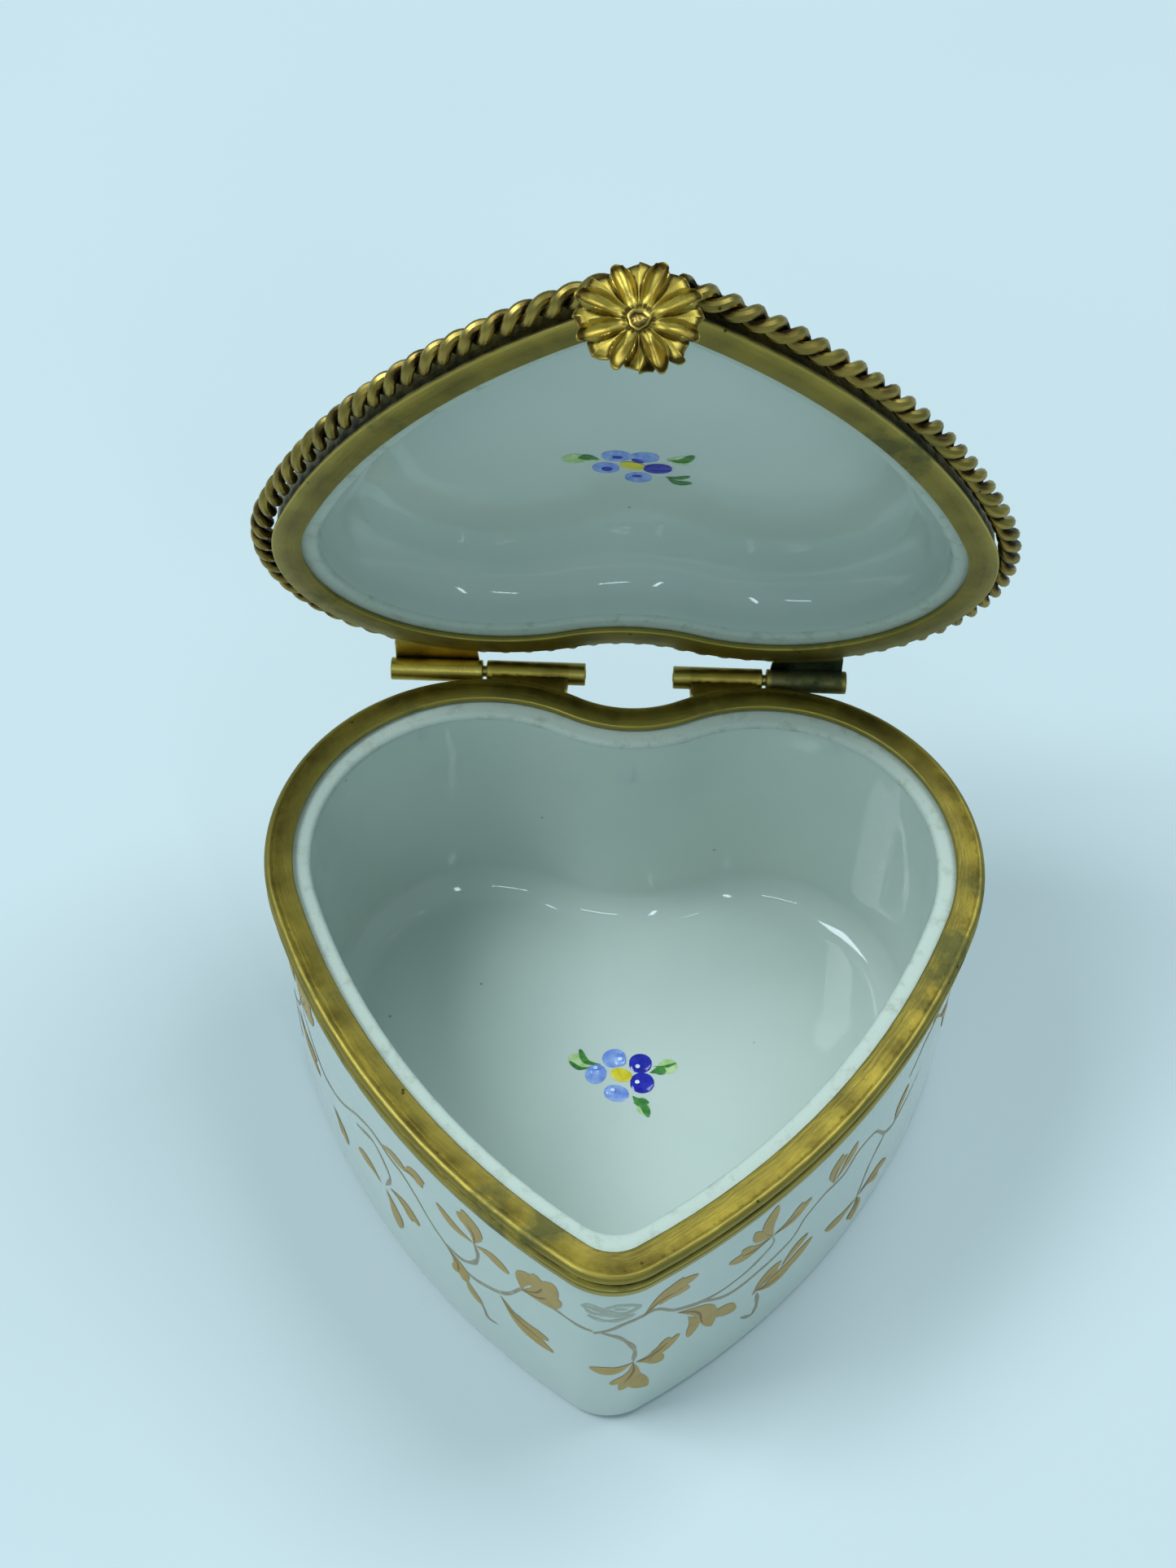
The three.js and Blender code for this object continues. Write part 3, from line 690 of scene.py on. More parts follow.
def lobe_back(x, grow):
    """The y of the back of a lobe at some x."""
    return math.sqrt((LOBE_R + grow) ** 2 - (abs(x) - LOBE_X) ** 2)


def arc_points(start, end, steps, r):
    return [(HINGE_Y + r * math.cos(a), HINGE_Z + r * math.sin(a))
            for a in np.radians(np.linspace(start, end, steps))]


def bow(p0, p1, p2, steps):
    """A curve from p0 to p2 that leans towards p1."""
    t = np.linspace(0, 1, steps)[:, None]
    p0, p1, p2 = (np.array(p) for p in (p0, p1, p2))
    return [tuple(p) for p in (1 - t) ** 2 * p0 + 2 * t * (1 - t) * p1 + t ** 2 * p2]


def knuckle_section(x, out, r, top_angle, low_angle, grow, z_top, z_low):
    """The round with its leaf at one station; out is how far the leaf is drawn out."""
    rest = arc_points(top_angle, low_angle - 360, TUBE_STEPS, r)
    edge = lobe_back(x, grow)
    first, last = rest[-1], rest[0]
    leaf = [*bow(first, ((first[0] + edge) / 2, z_low), (edge, z_low), 7)[1:],
            *bow((edge, z_top), ((last[0] * 0.6 + edge * 0.4), z_top), last, 9)[:-1]]
    hidden = arc_points(low_angle - 360, top_angle - 360, len(leaf) + 2, r)[1:-1]
    mixed = [tuple(np.array(h) * (1 - out) + np.array(p) * out) for h, p in zip(hidden, leaf)]
    return [(x, y, z) for y, z in rest + mixed]


def rod(low, high, longer, r, sides):
    """A cylinder on the hinge line, from one x to another and a little longer than that."""
    deselect()
    bpy.ops.mesh.primitive_cylinder_add(
        vertices=sides, radius=r * MM, depth=(high - low + longer) * MM,
        location=Vector(((low + high) / 2, HINGE_Y, HINGE_Z)) * MM, rotation=(0, math.pi / 2, 0))
    return bpy.context.object


def knuckle(node, body, metal, **shape):
    low, high = (c.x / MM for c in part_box(node))
    start, stop = low + LEAF_INSET, high - LEAF_INSET
    if body == "base":
        start += INNER_INSET * (low > 0)
        stop -= INNER_INSET * (low < 0)
    stations = [(low, 0, END_SHARE), (low + TUBE_END, 0, 1), (start, 0, 1), (start + SINK, 0.75, 1)]
    stations += [(x, 1, 1) for x in np.linspace(start + 0.3, stop - 0.3, 12)]
    stations += [(stop - SINK, 0.75, 1), (stop, 0, 1), (high - TUBE_END, 0, 1), (high, 0, END_SHARE)]
    piece = skin(node + "_tube", [knuckle_section(x, out, KNUCKLE_R * r, **shape)
                                  for x, out, r in stations])
    drill = rod(low, high, OVERRUN, BORE_R, 32)
    bpy.context.view_layer.objects.active = piece
    cut = piece.modifiers.new("bore", "BOOLEAN")
    cut.operation, cut.solver, cut.object = "DIFFERENCE", "EXACT", drill
    bpy.ops.object.modifier_apply(modifier=cut.name)
    bpy.data.objects.remove(drill)
    finish(piece, body, [metal], node, 40)


for side in ("left", "right"):
    knuckle(f"base_knuckle_{side}", "base", TUBE_BRASS, top_angle=148, low_angle=212, grow=-0.5,
            z_top=RIM_Z - 0.05, z_low=HINGE_Z - 0.45)

for side, metal in (("left", BRIGHT_TUBE_BRASS), ("right", GREEN_TUBE_BRASS)):
    knuckle(f"lid_knuckle_{side}", "lid", metal, top_angle=72, low_angle=112, grow=LID_EDGE - 0.3,
            z_top=JOINT_Z + 0.44, z_low=JOINT_Z + 0.03)

# %% [markdown]
# ## The hinge pins
# A pin is a piece of drawn wire whose ends were rounded over with a file. It starts as a
# cylinder on the hinge line, and only the edges of its two end faces are bevelled, so the
# faces are chosen by which way they look.

# %% Hinge pins
PIN_R = 0.5
PIN_LONGER = 0.1
PIN_ROUND = 0.16


def hinge_pin(side):
    low, high = (c.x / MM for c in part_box(f"hinge_pin_{side}"))
    pin = rod(low, high, PIN_LONGER, PIN_R, 28)
    bpy.ops.object.transform_apply(location=True, rotation=True, scale=True)
    pin.name = pin.data.name = f"hinge_pin_{side}_steel"
    bpy.ops.object.mode_set(mode="EDIT")
    bpy.ops.mesh.select_all(action="DESELECT")
    mesh = bmesh.from_edit_mesh(pin.data)
    for face in mesh.faces:
        face.select_set(abs(face.normal.x) > 0.9)
    bmesh.update_edit_mesh(pin.data)
    bpy.ops.mesh.bevel(offset=PIN_ROUND * MM, segments=4)
    bpy.ops.object.mode_set(mode="OBJECT")
    finish(pin, "base", [PIN_BRASS], f"hinge_pin_{side}")


for side in ("left", "right"):
    hinge_pin(side)

# %% [markdown]
# ## The daisy clasp
# The clasp is a daisy stamped from one thin sheet: eight spoon-shaped petals stand up, and
# eight flat pointed ones lie between them. A stamping is a height at every bearing and
# distance from the middle, so the sheet is extruded outwards in rings whose heights come
# from the shape of the petals. The lower right of it has been knocked and is crimped.

# %% Daisy
DAISY_R = 4.4
DAISY_HOLE = 0.7
PETAL_PAIRS = 8
PETAL_STEPS = 52
DAISY_TURN = math.radians(24)
KNOCK_AT = math.radians(285)
KNOCK_WIDE = 0.75      # spread of the knock, in radians
SHEET_T = 0.22
DAISY_BACK = 0.6
DAISY_Z = JOINT_Z - 2
DAISY_X = -0.35
SPOON_TIP = 0.16       # half the width of a spoon's round tip, as a share of the pitch
RIM_RISE = 0.22        # the raised edge of a spoon
SCOOP_DEPTH = 0.44     # the hollow of a spoon
CRIMP = 0.34           # how far the knock threw the edge up and down
spokes = np.linspace(0, 2 * math.pi, PETAL_PAIRS * PETAL_STEPS, endpoint=False)
pitch = 2 * math.pi / PETAL_PAIRS


def off_spoon(bearings):
    """How far each bearing is from the middle of its spoon, as a share of the pitch."""
    return np.abs((bearings - DAISY_TURN + pitch / 2) % pitch - pitch / 2) / pitch


def knock(bearings):
    """How much of the knock each bearing took."""
    away = (bearings - KNOCK_AT + math.pi) % (2 * math.pi) - math.pi
    return np.exp(-(away / KNOCK_WIDE) ** 2)


def petal_reach(bearings):
    """The outline: a round tip to each spoon, a notch, and a point between two spoons."""
    off = off_spoon(bearings)
    spoon = 1 - 0.11 * np.clip(off / SPOON_TIP, 0, 1) ** 2.2
    point = 0.87 + 0.09 * np.clip((off - SPOON_TIP) / (0.5 - SPOON_TIP), 0, 1) ** 0.7
    number = np.floor((bearings - DAISY_TURN + pitch / 2) / pitch)
    uneven = 1 + 0.03 * np.sin(number * 2.3) + 0.015 * np.cos(number * 4.1)
    dent = 1 - 0.07 * knock(bearings) * (0.5 + 0.5 * np.sin(bearings * 17))
    return DAISY_R * uneven * dent * np.where(off < SPOON_TIP, spoon, point)


reach = petal_reach(spokes)


def sheet_height(q):
    """The stamped height at a share of the way out from the hole, at every bearing."""
    off = off_spoon(spokes)
    lens = 0.43 - 0.26 * q ** 2.6
    u = off / lens
    v = np.clip((0.5 - off) / (0.5 - lens), 0, 1)
    inside = np.clip((1.07 - u) / 0.14, 0, 1)
    out = min(1, max(0, (q - 0.14) / 0.22))
    rim = RIM_RISE * np.exp(-((u - 0.88) / 0.13) ** 2) * out
    ends = min(1, max(0, (1.04 - q) / 0.2))
    scoop = SCOOP_DEPTH * np.clip(1 - u ** 2, 0, 1) ** 1.2 * out * ends
    flat = 0.04 * (1 - v) * out - 0.14 * out
    tip = -0.26 * max(0, q - 0.84) / 0.16
    height = 0.32 + 0.56 * math.sin(math.pi * 0.6 * q)
    height = height + inside * (0.16 * out + rim - scoop) + (1 - inside) * flat + tip * 0.5
    return height + CRIMP * knock(spokes) * q ** 2 * np.sin(spokes * 13 + 3 * q)


def daisy_ring(q, drop):
    r = DAISY_HOLE + (reach - DAISY_HOLE) * q
    return np.column_stack([r * np.cos(spokes), r * np.sin(spokes), sheet_height(q) - drop])


outward = [0, 0.05, 0.1, 0.16, 0.22, 0.28, 0.35, 0.42, 0.49, 0.56, 0.63, 0.7, 0.76, 0.81, 0.86,
           0.9, 0.94, 0.97, 0.99]
daisy = skin("clasp_daisy", [daisy_ring(0, SHEET_T)]
             + [daisy_ring(q, 0) for q in outward] + [daisy_ring(1, 0.05)]
             + [daisy_ring(1, SHEET_T - 0.05)]
             + [daisy_ring(q, SHEET_T) for q in (0.98, 0.85, 0.6, 0.3)], closed=True)


def on_front(piece):
    """Stands a piece that was drawn lying down against the front point of the shut lid."""
    place = Vector((DAISY_X, RIM_LOW.y - DAISY_BACK, DAISY_Z)) * MM
    piece.data.transform(Matrix.Translation(place) @ Matrix.Rotation(math.pi / 2, 4, "X"))


# The petal tips and a ring round the hole are made darker.
x, y, _ = (np.array([v.co for v in daisy.data.vertices]) / MM).T
out_share = np.hypot(x, y) / petal_reach(np.arctan2(y, x))
darker_tips_and_middle = (np.clip((out_share - 0.87) / 0.13, 0, 1) * 0.32
           + np.clip((0.32 - out_share) / 0.1, 0, 1) * 0.3)
on_front(daisy)
finish(daisy, "lid", [DAISY_BRASS], "clasp_rosette", 42)
wear = daisy.data.attributes["hollow"].data
for spot, more in zip(wear, darker_tips_and_middle):
    spot.value = min(1, spot.value + more)

# %% [markdown]
# ## The daisy's rivet
# The rivet was struck flat with a punch, which left an uneven knob with a dimple in it. Its
# rings are circles with a slow wave added, because a turned knob would look too perfect.

# %% Daisy rivet
BEARINGS = np.linspace(0, 2 * math.pi, 40, endpoint=False)


def rivet_ring(r, z):
    lumpy = r * (1 + 0.07 * np.sin(3 * BEARINGS + 0.6) + 0.04 * np.sin(7 * BEARINGS))
    wave = z + 0.05 * np.sin(2 * BEARINGS + r * 3) * (r / 1.1)
    return np.column_stack([lumpy * np.cos(BEARINGS), lumpy * np.sin(BEARINGS), wave])


rivet = skin("clasp_rivet_head", [
    rivet_ring(r, z) for r, z in (
        (0.62, 0.1), (0.62, 0.36), (0.74, 0.4), (0.79, 0.44), (0.74, 0.49), (0.62, 0.46),
        (0.5, 0.38), (0.4, 0.42), (0.28, 0.5), (0.15, 0.52), (0.05, 0.5))])
on_front(rivet)
finish(rivet, "lid", [ROPE_BRASS], "clasp_rivet", 50)

# %% [markdown]
# ## The clasp's tongue
# A spring strip is bent over the lid's flange and hangs behind the daisy. It is an L in
# section, extruded across its width, with its long corners bevelled afterwards. Bevelling
# comes last because it needs the finished corners.

# %% Clasp tongue
TONGUE_W = 3.6
TONGUE_T = 0.4
TONGUE_CLEAR = 0.15
back = RIM_LOW.y - TONGUE_CLEAR
front = back - TONGUE_T
tongue_section = [
    (back, JOINT_Z), (back, JOINT_Z - 3.3), (back + 0.1, JOINT_Z - 3.7), (back, JOINT_Z - 4.1),
    (back - 0.12, JOINT_Z - 4.6), (front, JOINT_Z - 4.6), (front, JOINT_Z - 2),
    (front, JOINT_Z + 0.3), (front + 0.2, JOINT_Z + 0.5), (RIM_LOW.y - LID_EDGE, JOINT_Z + 0.5),
    (RIM_LOW.y - LID_EDGE, JOINT_Z + 0.08),
]
tongue = skin("clasp_tongue_spring", [[(x, y, z) for y, z in tongue_section]
                                      for x in np.linspace(-TONGUE_W / 2, TONGUE_W / 2, 7)])
bpy.context.view_layer.objects.active = tongue
edge = tongue.modifiers.new("edge", "BEVEL")
edge.width, edge.segments, edge.limit_method = 0.06 * MM, 2, "ANGLE"
edge.angle_limit = math.radians(40)
bpy.ops.object.modifier_apply(modifier=edge.name)
finish(tongue, "lid", [BEZEL_BRASS], "clasp_tongue")

# %% [markdown]
# ## Painted gold
# The vines are powder gold in oil, brushed on over the glaze and fired soft. It lies a
# little proud of the glaze, matt and ochre, and it has worn thin in places to a grey-brown
# ghost. Each brush stroke is a curve that swells and thins: the strokes are drawn on a flat
# sheet, in mm along the wall and mm up it, and then wrapped on to the wall.

# %% Paint finishes
def powder_gold(name, full, worn, wear_from):
    material, tree, shader, here = new_finish(name, Metallic=0.45)
    thin = add(tree, "TexNoise", {"Vector": here, "Scale": per_mm(2.2), "Detail": 6,
                                  "Roughness": 0.7})
    share = add(tree, "MapRange", {0: thin, 1: wear_from, 2: wear_from + 0.14})
    add(tree, "Mix", {0: share, 6: ink(full), 7: ink(worn)}, out=2, data_type="RGBA",
        to=shader["Base Color"])
    add(tree, "MapRange", {0: thin, 1: 0.3, 2: 0.7, 3: 0.36, 4: 0.6}, to=shader["Roughness"])
    grain = add(tree, "TexNoise", {"Vector": here, "Scale": per_mm(0.25), "Detail": 2})
    add(tree, "Bump", {"Height": grain, "Strength": 0.3, "Distance": 0.03 * MM},
        to=shader["Normal"])
    return material


def enamel(name, thick, thin, rough=0.12):
    """A vitreous enamel dot: glassy, deep where it pooled and pale where it was dragged."""
    material, tree, shader, here = new_finish(name, IOR=1.55)
    pool = add(tree, "TexNoise", {"Vector": here, "Scale": per_mm(0.8), "Detail": 4})
    share = add(tree, "MapRange", {0: pool, 1: 0.36, 2: 0.64})
    add(tree, "Mix", {0: share, 6: ink(thick), 7: ink(thin)}, out=2, data_type="RGBA",
        to=shader["Base Color"])
    add(tree, "MapRange", {0: pool, 1: 0.3, 2: 0.7, 3: rough, 4: rough + 0.12},
        to=shader["Roughness"])
    add(tree, "Bump", {"Height": pool, "Strength": 0.3, "Distance": 0.05 * MM},
        to=shader["Normal"])
    return material


GOLD = powder_gold("powder_gold", "b99a58", "8f8362", 0.60)
GHOST_GOLD = powder_gold("worn_powder_gold", "a1937a", "b4b3a2", 0.52)
FAINT_GOLD = powder_gold("rubbed_out_gold", "a9aa98", "b4bcb0", 0.46)
BROWN_GOLD = powder_gold("outlined_gold", "8a6c3c", "77684a", 0.55)

# %% Strokes
def eased(points, step=0.35):
    """A smooth line through given points, as even short steps."""
    points = [np.array(p, float) for p in points]
    points = [2 * points[0] - points[1], *points, 2 * points[-1] - points[-2]]
    line = []
    for a, b, c, d in zip(points, points[1:], points[2:], points[3:]):
        for t in np.arange(0, 1, step / max(np.linalg.norm(c - b), step)):
            line.append(0.5 * (2 * b + (c - a) * t + (2 * a - 5 * b + 4 * c - d) * t ** 2
                               + (3 * b - a - 3 * c + d) * t ** 3))
    return np.array([*line, points[-2]])


def stem(points, width=0.2):
    line = eased(points)
    t = np.linspace(0, 1, len(line))
    swell = width * (0.75 + 0.5 * np.sin(t * 9) ** 2) * np.minimum(1, 6 * (1.02 - t))
    return np.column_stack([line, np.zeros(len(line)), swell])


def leaf(base, tip, width, bend=0.12):
    base, tip = np.array(base, float), np.array(tip, float)
    along = tip - base
    side = np.array((-along[1], along[0]))
    line = eased([base, base + along * 0.5 + side * bend, tip], 0.22)
    t = np.linspace(0, 1, len(line))
    swell = width * 0.6 * np.sin(math.pi * np.clip(t, 0.02, 0.985) ** 1.5) ** 0.75
    return np.column_stack([line, np.zeros(len(line)), swell])


def lobe(base, tip, width, bend=0.12):
    """A second, shorter press of the brush that gives a leaf its lobed side."""
    base, tip = np.array(base, float), np.array(tip, float)
    along = tip - base
    side = np.array((-along[1], along[0])) * math.copysign(1, -bend)
    return leaf(base + along * 0.3, base + along * 0.78 + side * 0.2, width * 0.7, bend)


def blob(x, y, length, width, turn=0):
    t = np.linspace(-0.97, 0.97, 13)
    a = math.radians(turn)
    half = length / 2
    return np.column_stack([x + t * half * math.cos(a), y + t * half * math.sin(a),
                            np.zeros(13), width / 2 * np.sqrt(1 - t ** 2) ** 0.9])


# %% Laying strokes on the ware
LIFT = 0.018
WALL_GROW = BOWL_OUT - BOWL_DRAFT / 2
wall_line = heart(WALL_GROW)
wall_run = lengths(wall_line)


def on_wall(point, relief, lift):
    """From mm along the wall and mm up it to a place on the bowl's outside."""
    s, z, h = point
    at, out = walk_at(s)
    draft = BOWL_DRAFT * (z - FOOT_R) / (BEZEL_FOOT - FOOT_R) - BOWL_DRAFT / 2
    return (*(at + out * (draft + lift + relief * h)), z)


def walk_at(s):
    loop = np.vstack([wall_line, wall_line[:1]])
    spots = [np.array([np.interp((s + d) % wall_run[-1], wall_run, loop[:, k]) for k in (0, 1)])
             for d in (-0.25, 0, 0.25)]
    along = spots[2] - spots[0]
    along /= np.linalg.norm(along)
    return spots[1], np.array((along[1], -along[0]))


def on_floor(point, relief, lift):
    x, y, h = point
    return (x, y, FLOOR_Z + lift + relief * h)


def on_ceiling(point, relief, lift):
    x, y, h = point
    return (x, y, CEILING - lift - relief * h)


def painted(name, layers, ware, body):
    """Strokes in layers of one finish each, laid on the ware and joined as one piece."""
    made = []
    for number, (finish_used, strokes, relief, lift) in enumerate(layers):
        piece = curve_piece(f"{name}_{number}", strokes, 1, sides=2)
        for v in piece.data.vertices:
            height = math.copysign(min(abs(v.co.z / MM), 0.6), v.co.z)
            v.co = Vector(ware((v.co.x / MM, v.co.y / MM, height), relief, lift)) * MM
        piece.data.materials.append(finish_used)
        made.append(piece)
    pick(made[0])
    for piece in made:
        piece.select_set(True)
    bpy.ops.object.join()
    piece = bpy.context.view_layer.objects.active
    piece.name = piece.data.name = name
    face_out()
    finish(piece, body, [], None, 60)


# %% [markdown]
# ## The vines
# One vine springs from under the daisy and runs round both flanks of the bowl, with leaves
# in twos and threes. A painter repeats a few motions, so each leaf is one stroke from its
# base to its tip, given by its two ends, its width and its bend, and every second leaf has a
# shorter stroke that gives it a lobe. Places are in mm along the wall from the front point
# and mm up it. The same vines are laid once more round the back.

# %% Vines
left_stems = [
    [(-1.3, 18), (-3.3, 18), (-5.7, 18.2), (-8, 17.6)],
    [(-8, 17.6), (-9.6, 14.3), (-11.6, 12.5), (-14, 11.5), (-16.1, 12.6), (-18.7, 14.6),
     (-20.3, 16.4), (-22.1, 17.6), (-24, 17.8), (-26.2, 18.3), (-29, 16.9), (-32.5, 13.7),
     (-36, 12.2), (-39, 13.6), (-41.5, 16.8)],
    [(-16.6, 13.1), (-14.7, 13.2), (-13.2, 14.9), (-12.7, 16.9), (-13, 18.7)],
    [(-16.4, 12.8), (-14.6, 10.4), (-12.6, 7.6), (-12, 5.9), (-10.8, 6.3)],
    [(-29.3, 14.8), (-26.4, 16.4), (-24.7, 14.8), (-24.2, 13.1), (-25.1, 10.6)],
]
left_leaves = [
    [(-8, 17.4), (-4.8, 22.6), 1.7, -0.1], [(-8, 17.4), (-7.0, 21.4), 1.3, 0.1],
    [(-8, 17.4), (-4.2, 20.4), 1.5, -0.1],
    [(-13, 18.7), (-17.4, 19.6), 1.1, 0.15], [(-13, 18.7), (-14.2, 23.1), 1.7, -0.15],
    [(-12.9, 18.6), (-9.3, 18.5), 1.2, 0.15],
    [(-16.4, 12.8), (-14.7, 9.2), 1.2, 0.2], [(-14.4, 10.1), (-12.6, 7.6), 1.0, -0.1],
    [(-10.4, 12.9), (-4.9, 9.3), 1.5, -0.15],
    [(-24.9, 18.3), (-21.3, 19.2), 1.1, 0.1], [(-21.6, 19.0), (-18.8, 20.9), 1.3, 0.1],
    [(-25.2, 9.8), (-23.6, 5.1), 1.5, 0.1], [(-24.4, 11.3), (-20.2, 10.9), 1.3, 0.15],
    [(-25.8, 9.7), (-29.7, 9.8), 1.3, -0.15], [(-35, 9.0), (-32.4, 6.1), 1.2, 0.1],
]
tip_stems = [[(-0.5, 18), (0.9, 17), (2.1, 14.2), (2.1, 11.5)]]
tip_leaves = [
    [(2.1, 11.5), (-1.5, 10.6), 1.3, 0.15], [(2.1, 11.5), (1.1, 6.3), 1.2, 0.1],
    [(2.1, 11.5), (3.6, 4.9), 1.4, -0.1], [(2.3, 11.3), (6.4, 12.0), 1.2, -0.2],
    [(2.4, 11.2), (4.9, 8.6), 1.1, 0.1],
]
right_stems = [
    [(-1.2, 17.7), (0.1, 18.7), (1.5, 19.8), (3.8, 19.9), (5.7, 17.6), (8.3, 15.8),
     (10.9, 15.1), (13.8, 15.4), (15.8, 16.6), (15.6, 18.3)],
    [(8.3, 15.8), (11.1, 13.4), (14, 13.1), (18.1, 13.8), (19.8, 15.8), (22.1, 16.6),
     (24.7, 16.2), (26.5, 17.6), (29.2, 16.8), (31.6, 13.0), (34, 12.0), (38.2, 14.2)],
    [(14.8, 8.4), (15, 6), (14.5, 4.5), (13.1, 6)],
    [(31.6, 13.0), (29.6, 10.4), (28.3, 6.4)],
]
right_leaves = [
    [(2.6, 19.8), (7.7, 21.8), 1.5, 0.2], [(4.2, 20.4), (6.3, 23.0), 1.0, 0.1],
    [(6, 16.7), (9.8, 9.2), 1.5, 0.12], [(8.3, 12.2), (12.3, 8.9), 1.3, 0.1],
    [(15.6, 18.4), (10.9, 19.7), 1.1, 0.1], [(15.6, 18.4), (15.6, 23.8), 1.3, 0.12],
    [(15.6, 18.4), (20.1, 18.9), 1.2, -0.1], [(15.6, 18.4), (13.4, 21.9), 0.9, 0.1],
    [(14.2, 9.0), (17.4, 11.0), 1.6, 0.1], [(15.6, 9.2), (21.4, 9.6), 1.5, -0.12],
    [(14.6, 9.2), (18.8, 8.0), 1.3, -0.1], [(17.4, 9.6), (20.6, 11.6), 1.1, 0.1],
    [(23.1, 17), (23.7, 21.2), 1.3, 0.1], [(23.2, 17), (25.9, 20.2), 1.1, -0.1],
    [(28.3, 6.3), (33.6, 4.9), 1.2, 0.12], [(28.3, 6.3), (23.4, 7.7), 1.2, 0.12],
    [(28.3, 6.3), (28.1, 2.4), 1.3, 0.1], [(33.4, 12.2), (35.2, 15.9), 1.2, 0.1],
]
ghosts = [
    [(-2.2, 22.0), (-1.5, 22.8), (-0.6, 22.5), (-0.5, 21.7), (-1.4, 21.4), (-2.0, 21.9)],
    [(-0.3, 22.7), (0.6, 23.2), (1.7, 22.9), (2.3, 22.1), (1.3, 21.7), (0.2, 22.0), (-0.3, 22.7)],
    [(0.4, 22.6), (1.4, 22.3)],
    [(-1.7, 20.8), (-0.4, 20.4), (1.0, 20.6), (2.0, 21.1)],
]
ghost_leaves = [[(-0.9, 21.2), (1.6, 21.3), 0.8, 0.1], [(-2.0, 22.1), (-0.7, 22.2), 0.6, 0.1]]


def shifted(shapes, by):
    """The same strokes further round the wall."""
    return [[(p[0] + by, *p[1:]) if isinstance(p, tuple) else p for p in shape]
            for shape in shapes]


ROUND_THE_BACK = [(left_stems[1:], left_leaves, -33), (right_stems, right_leaves, 36)]
stems, leaves = left_stems + tip_stems + right_stems, left_leaves + tip_leaves + right_leaves
for more_stems, more_leaves, by in ROUND_THE_BACK:
    stems, leaves = stems + shifted(more_stems, by), leaves + shifted(more_leaves, by)
accents = [leaf(b, np.array(b) + (np.array(t) - np.array(b)) * 0.72, 0.26, bend)
           for b, t, _, bend in leaves[::2]]
painted("painted_vines", [
    (GOLD, [leaf(*shape) for shape in leaves] + [lobe(*shape) for shape in leaves[::2]],
     0.07, LIFT + 0.02),
    (GHOST_GOLD, [stem(points) for points in stems], 0.09, LIFT),
    (FAINT_GOLD, [stem(points, 0.24) for points in ghosts]
     + [leaf(*shape) for shape in ghost_leaves], 0.05, LIFT),
    (BROWN_GOLD, accents, 0.10, LIFT + 0.052),
], on_wall, "base")

# %% [markdown]
# ## The enamel flowers
# One small forget-me-not lies on the floor of the bowl and one on the ceiling of the lid.
# Each petal is a dab of blue enamel, with a thicker bead near its middle, round a yellow
# dab, and the leaves are two green strokes. Small near-white dots on the floor flower's
# petals are painted highlights. All of them are made as short fat strokes.

# %% Flowers
SKY = enamel("sky_enamel", "6a86d2", "94addf")
PAINTED_GLINT = enamel("painted_glint_enamel", "c9d4f6", "e6ecfb", 0.04)
DEEP = enamel("cobalt_enamel", "1b1a94", "2a2cb0", 0.06)
BEAD = enamel("bead_enamel", "6d93e6", "a9c2f4", 0.05)
YELLOW = enamel("yellow_enamel", "d2bd1c", "e3cf35", 0.25)
LIME = enamel("lime_enamel", "9fc07a", "bcd49a", 0.2)
GREEN = enamel("leaf_green_enamel", "2c6a2b", "4a8a3c", 0.2)

painted("floor_flower_enamel", [
    (SKY, [blob(-0.25, -4.9, 2.2, 1.9, 20), blob(0.05, -8.5, 2.3, 1.7, -10),
           blob(-1.85, -6.6, 2.1, 1.9, 60)], 0.07, 0.02),
    (DEEP, [blob(2.15, -5.35, 2.1, 2.0), blob(2.35, -7.35, 2.2, 2.1)], 0.16, 0.02),
    (YELLOW, [blob(0.45, -6.6, 2.0, 1.35, -15)], 0.10, 0.03),
    (BEAD, [blob(0.3, -5.2, 1.1, 1.0), blob(-1.95, -6.2, 1.0, 0.9), blob(-0.5, -8.3, 0.9, 0.9)],
     0.22, 0.06),
    # Near-white dots on the petals: painted highlights, glints of light on the enamel.
    (PAINTED_GLINT, [blob(0.3, -5.1, 0.42, 0.36), blob(-1.9, -6.1, 0.4, 0.34), blob(-0.3, -8.3, 0.4, 0.34),
             blob(1.9, -5.8, 0.42, 0.4), blob(1.9, -7.4, 0.42, 0.38)], 0.1, 0.3),
    (LIME, [leaf((-1.9, -5.4), (-4.4, -4.9), 1.3, 0.1), leaf((3.3, -6.2), (5.5, -5.5), 1.3, 0.1),
            leaf((1.7, -8.8), (2.7, -10.6), 1.0, 0.1)], 0.05, 0.02),
    (GREEN, [leaf((-1.4, -5.6), (-3.4, -4.1), 0.5, 0.25),
             leaf((-2.2, -5.9), (-4.3, -5.4), 0.35, 0.2), leaf((3.0, -6.3), (4.5, -6.1), 0.7, 0.1),
             leaf((3.3, -5.6), (5.4, -5.2), 0.25, -0.1), leaf((1.5, -8.7), (3.0, -9.3), 0.8, -0.2),
             leaf((1.6, -9.4), (3.0, -10.8), 0.6, 0.2)],
     0.07, 0.05),
], on_floor, "base")

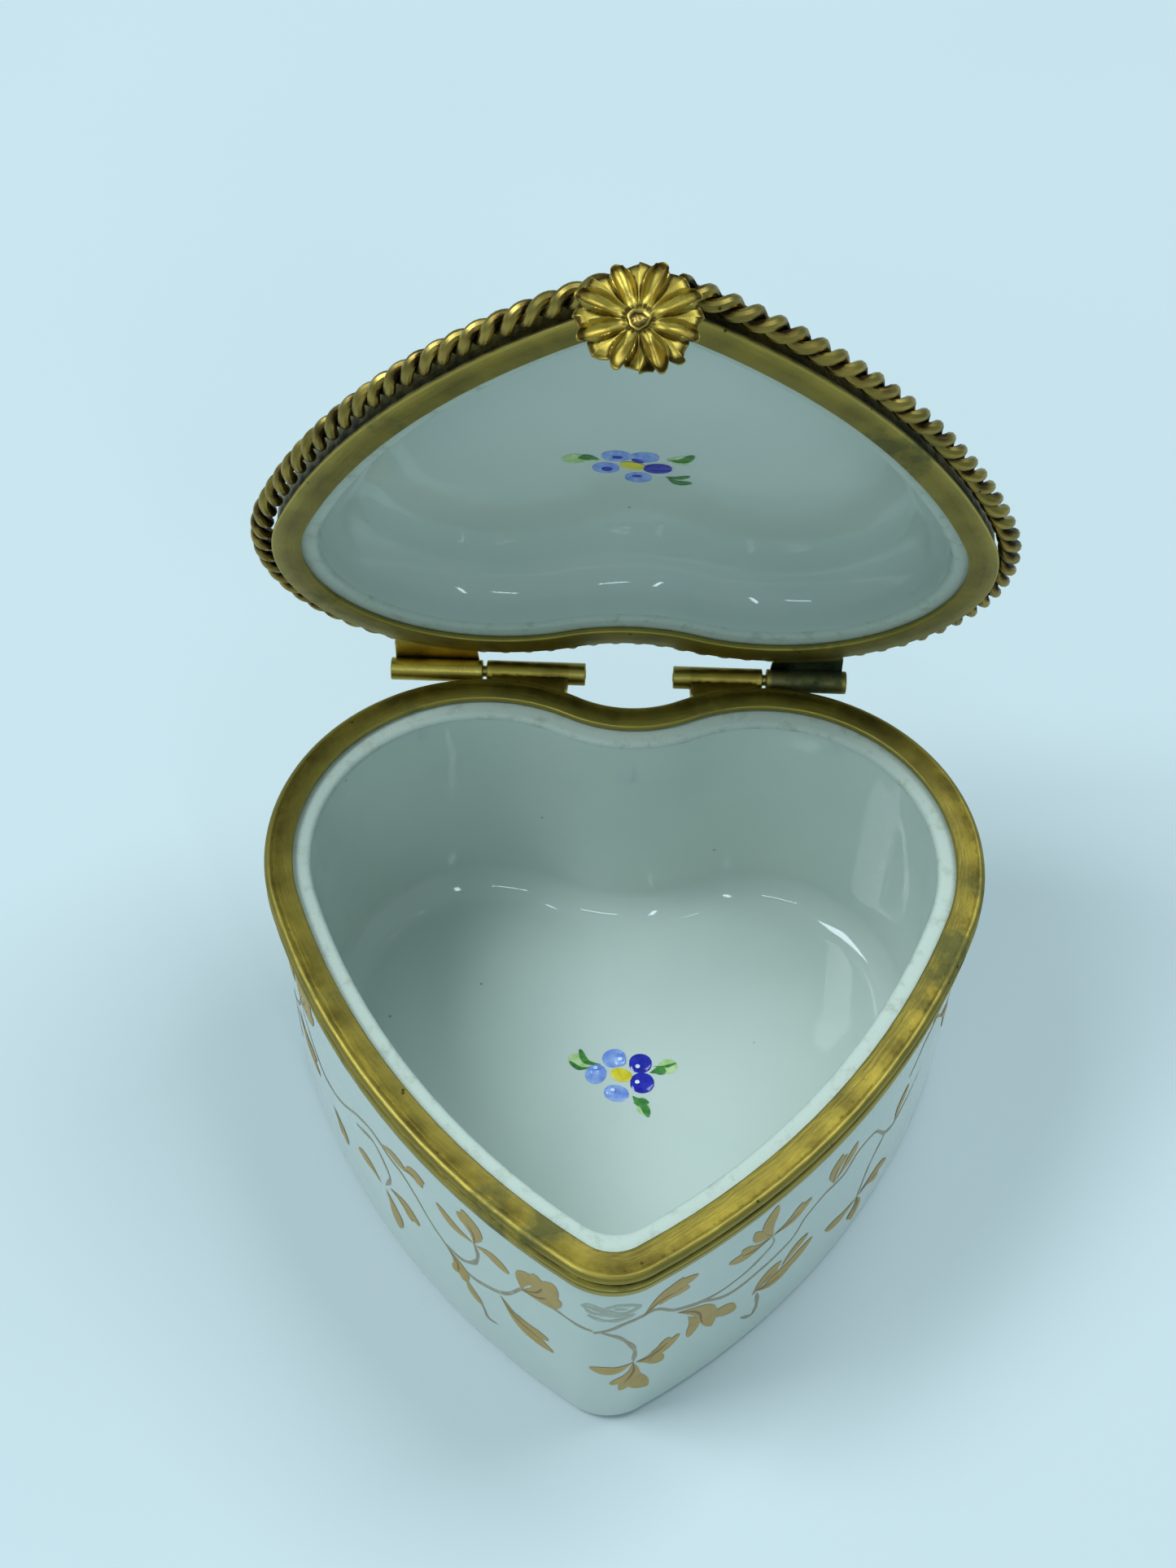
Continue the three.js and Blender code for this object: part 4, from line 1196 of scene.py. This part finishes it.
painted("lid_flower_enamel", [
    (SKY, [blob(-1.7, -8.2, 2.4, 1.7), blob(0.5, -8.1, 2.4, 1.6), blob(0.1, -4.9, 2.2, 1.6),
           blob(-2.5, -6.3, 2.2, 1.7)], 0.07, 0.02),
    (DEEP, [blob(1.6, -6.4, 2.3, 1.5), blob(-1.6, -8.1, 0.9, 0.6), blob(0.0, -7.6, 1.1, 0.6, 30),
            blob(-2.4, -6.2, 0.9, 0.8), blob(0.0, -5.2, 0.9, 0.5)], 0.12, 0.05),
    (YELLOW, [blob(-0.4, -6.8, 2.0, 1.1, 15)], 0.10, 0.05),
    (LIME, [leaf((-3.1, -7.3), (-6.0, -7.4), 1.2, 0.1), leaf((2.2, -8.0), (4.3, -8.0), 1.2, 0.1)],
     0.05, 0.02),
    (GREEN, [leaf((-3.0, -7.6), (-4.7, -7.8), 0.7, 0.1), leaf((2.3, -7.8), (4.4, -8.6), 0.7, 0.2),
             leaf((2.3, -5.2), (4.4, -4.2), 0.55, 0.2), leaf((2.2, -5.1), (4.2, -5.3), 0.4, 0.1)],
     0.07, 0.05),
], on_ceiling, "lid")

# %% [markdown]
# ## The stage
# A pale floor, a soft even sky and four lamps, as on a bench in a room with windows. Two
# broad lamps stand high, at the left and at the right, and give the soft light. Polished
# glaze mirrors what is lit, so two faint panes stand lower in front, one wide and one tall,
# and draw small glints in the glaze.

# %% Floor and light
FLOOR_SIZE = 3000
AIM = (0, 0, 20)
deselect()
bpy.ops.mesh.primitive_plane_add(size=FLOOR_SIZE * MM, location=(0, 0, 0))
ground = bpy.context.object
ground.name = "pale_floor"
paper, tree, shader, here = new_finish("pale_card", Roughness=0.9)
soft = add(tree, "TexNoise", {"Vector": here, "Scale": per_mm(120), "Detail": 2})
add(tree, "Mix", {0: soft, 6: ink("c0c9ca"), 7: ink("c8d0d1")}, out=2, data_type="RGBA",
    to=shader["Base Color"])
ground.data.materials.append(paper)

world = bpy.data.worlds.new("soft_sky")
bpy.context.scene.world = world
world.use_nodes = True
sky = world.node_tree.nodes["Background"].inputs
sky["Color"].default_value = ink("c4e8f2")
sky["Strength"].default_value = 0.47


def lamp(name, place, width, height, power):
    """A lamp the colour of daylight, aimed at the box. Sizes in mm, power in watts."""
    data = bpy.data.lights.new(name, "AREA")
    data.shape, data.size, data.size_y = "RECTANGLE", width * MM, height * MM
    data.energy = power
    data.color = ink("e8f6ff")[:3]
    light = bpy.data.objects.new(name, data)
    bpy.context.collection.objects.link(light)
    light.location = Vector(place) * MM
    light.rotation_euler = (Vector(AIM) - Vector(place)).to_track_quat("-Z", "Y").to_euler()
    print(f"{name}: {width} x {height} mm, {power} W")


lamp("high_window_left", (-700, -40, 1100), 520, 520, 9.8)
lamp("high_window_right", (460, 380, 1200), 700, 700, 9.5)
lamp("pane_left", (-120, -400, 430), 190, 22, 0.17)
lamp("pane_right", (170, -410, 440), 26, 150, 0.16)

# %% [markdown]
# ## The camera
# The camera looks down at the open box from the front, a little left of its middle. Its
# place, tilt and lens are those of a phone held about 20 cm away.

# %% Camera
CAMERA_AT = (-0.651, -111.247, 191.07)
PITCH, YAW, ROLL = 0.94035, -0.02208, 0.0153
FOCAL_LENGTH, FILM = 54.2, 36

ahead = Vector((math.sin(YAW) * math.cos(PITCH), math.cos(YAW) * math.cos(PITCH),
                -math.sin(PITCH)))
right = ahead.cross(Vector((0, 0, 1))).normalized()
up = right.cross(ahead)
right, up = (math.cos(ROLL) * right + math.sin(ROLL) * up,
             math.cos(ROLL) * up - math.sin(ROLL) * right)
lens = bpy.data.cameras.new("camera")
lens.lens, lens.sensor_width = FOCAL_LENGTH, FILM
lens.clip_start = 1 * MM
camera = bpy.data.objects.new("camera", lens)
bpy.context.collection.objects.link(camera)
camera.matrix_world = Matrix.Translation(Vector(CAMERA_AT) * MM) @ Matrix(
    (right, up, -ahead)).transposed().to_4x4()
bpy.context.scene.camera = camera
bpy.context.scene.view_settings.view_transform = "Standard"
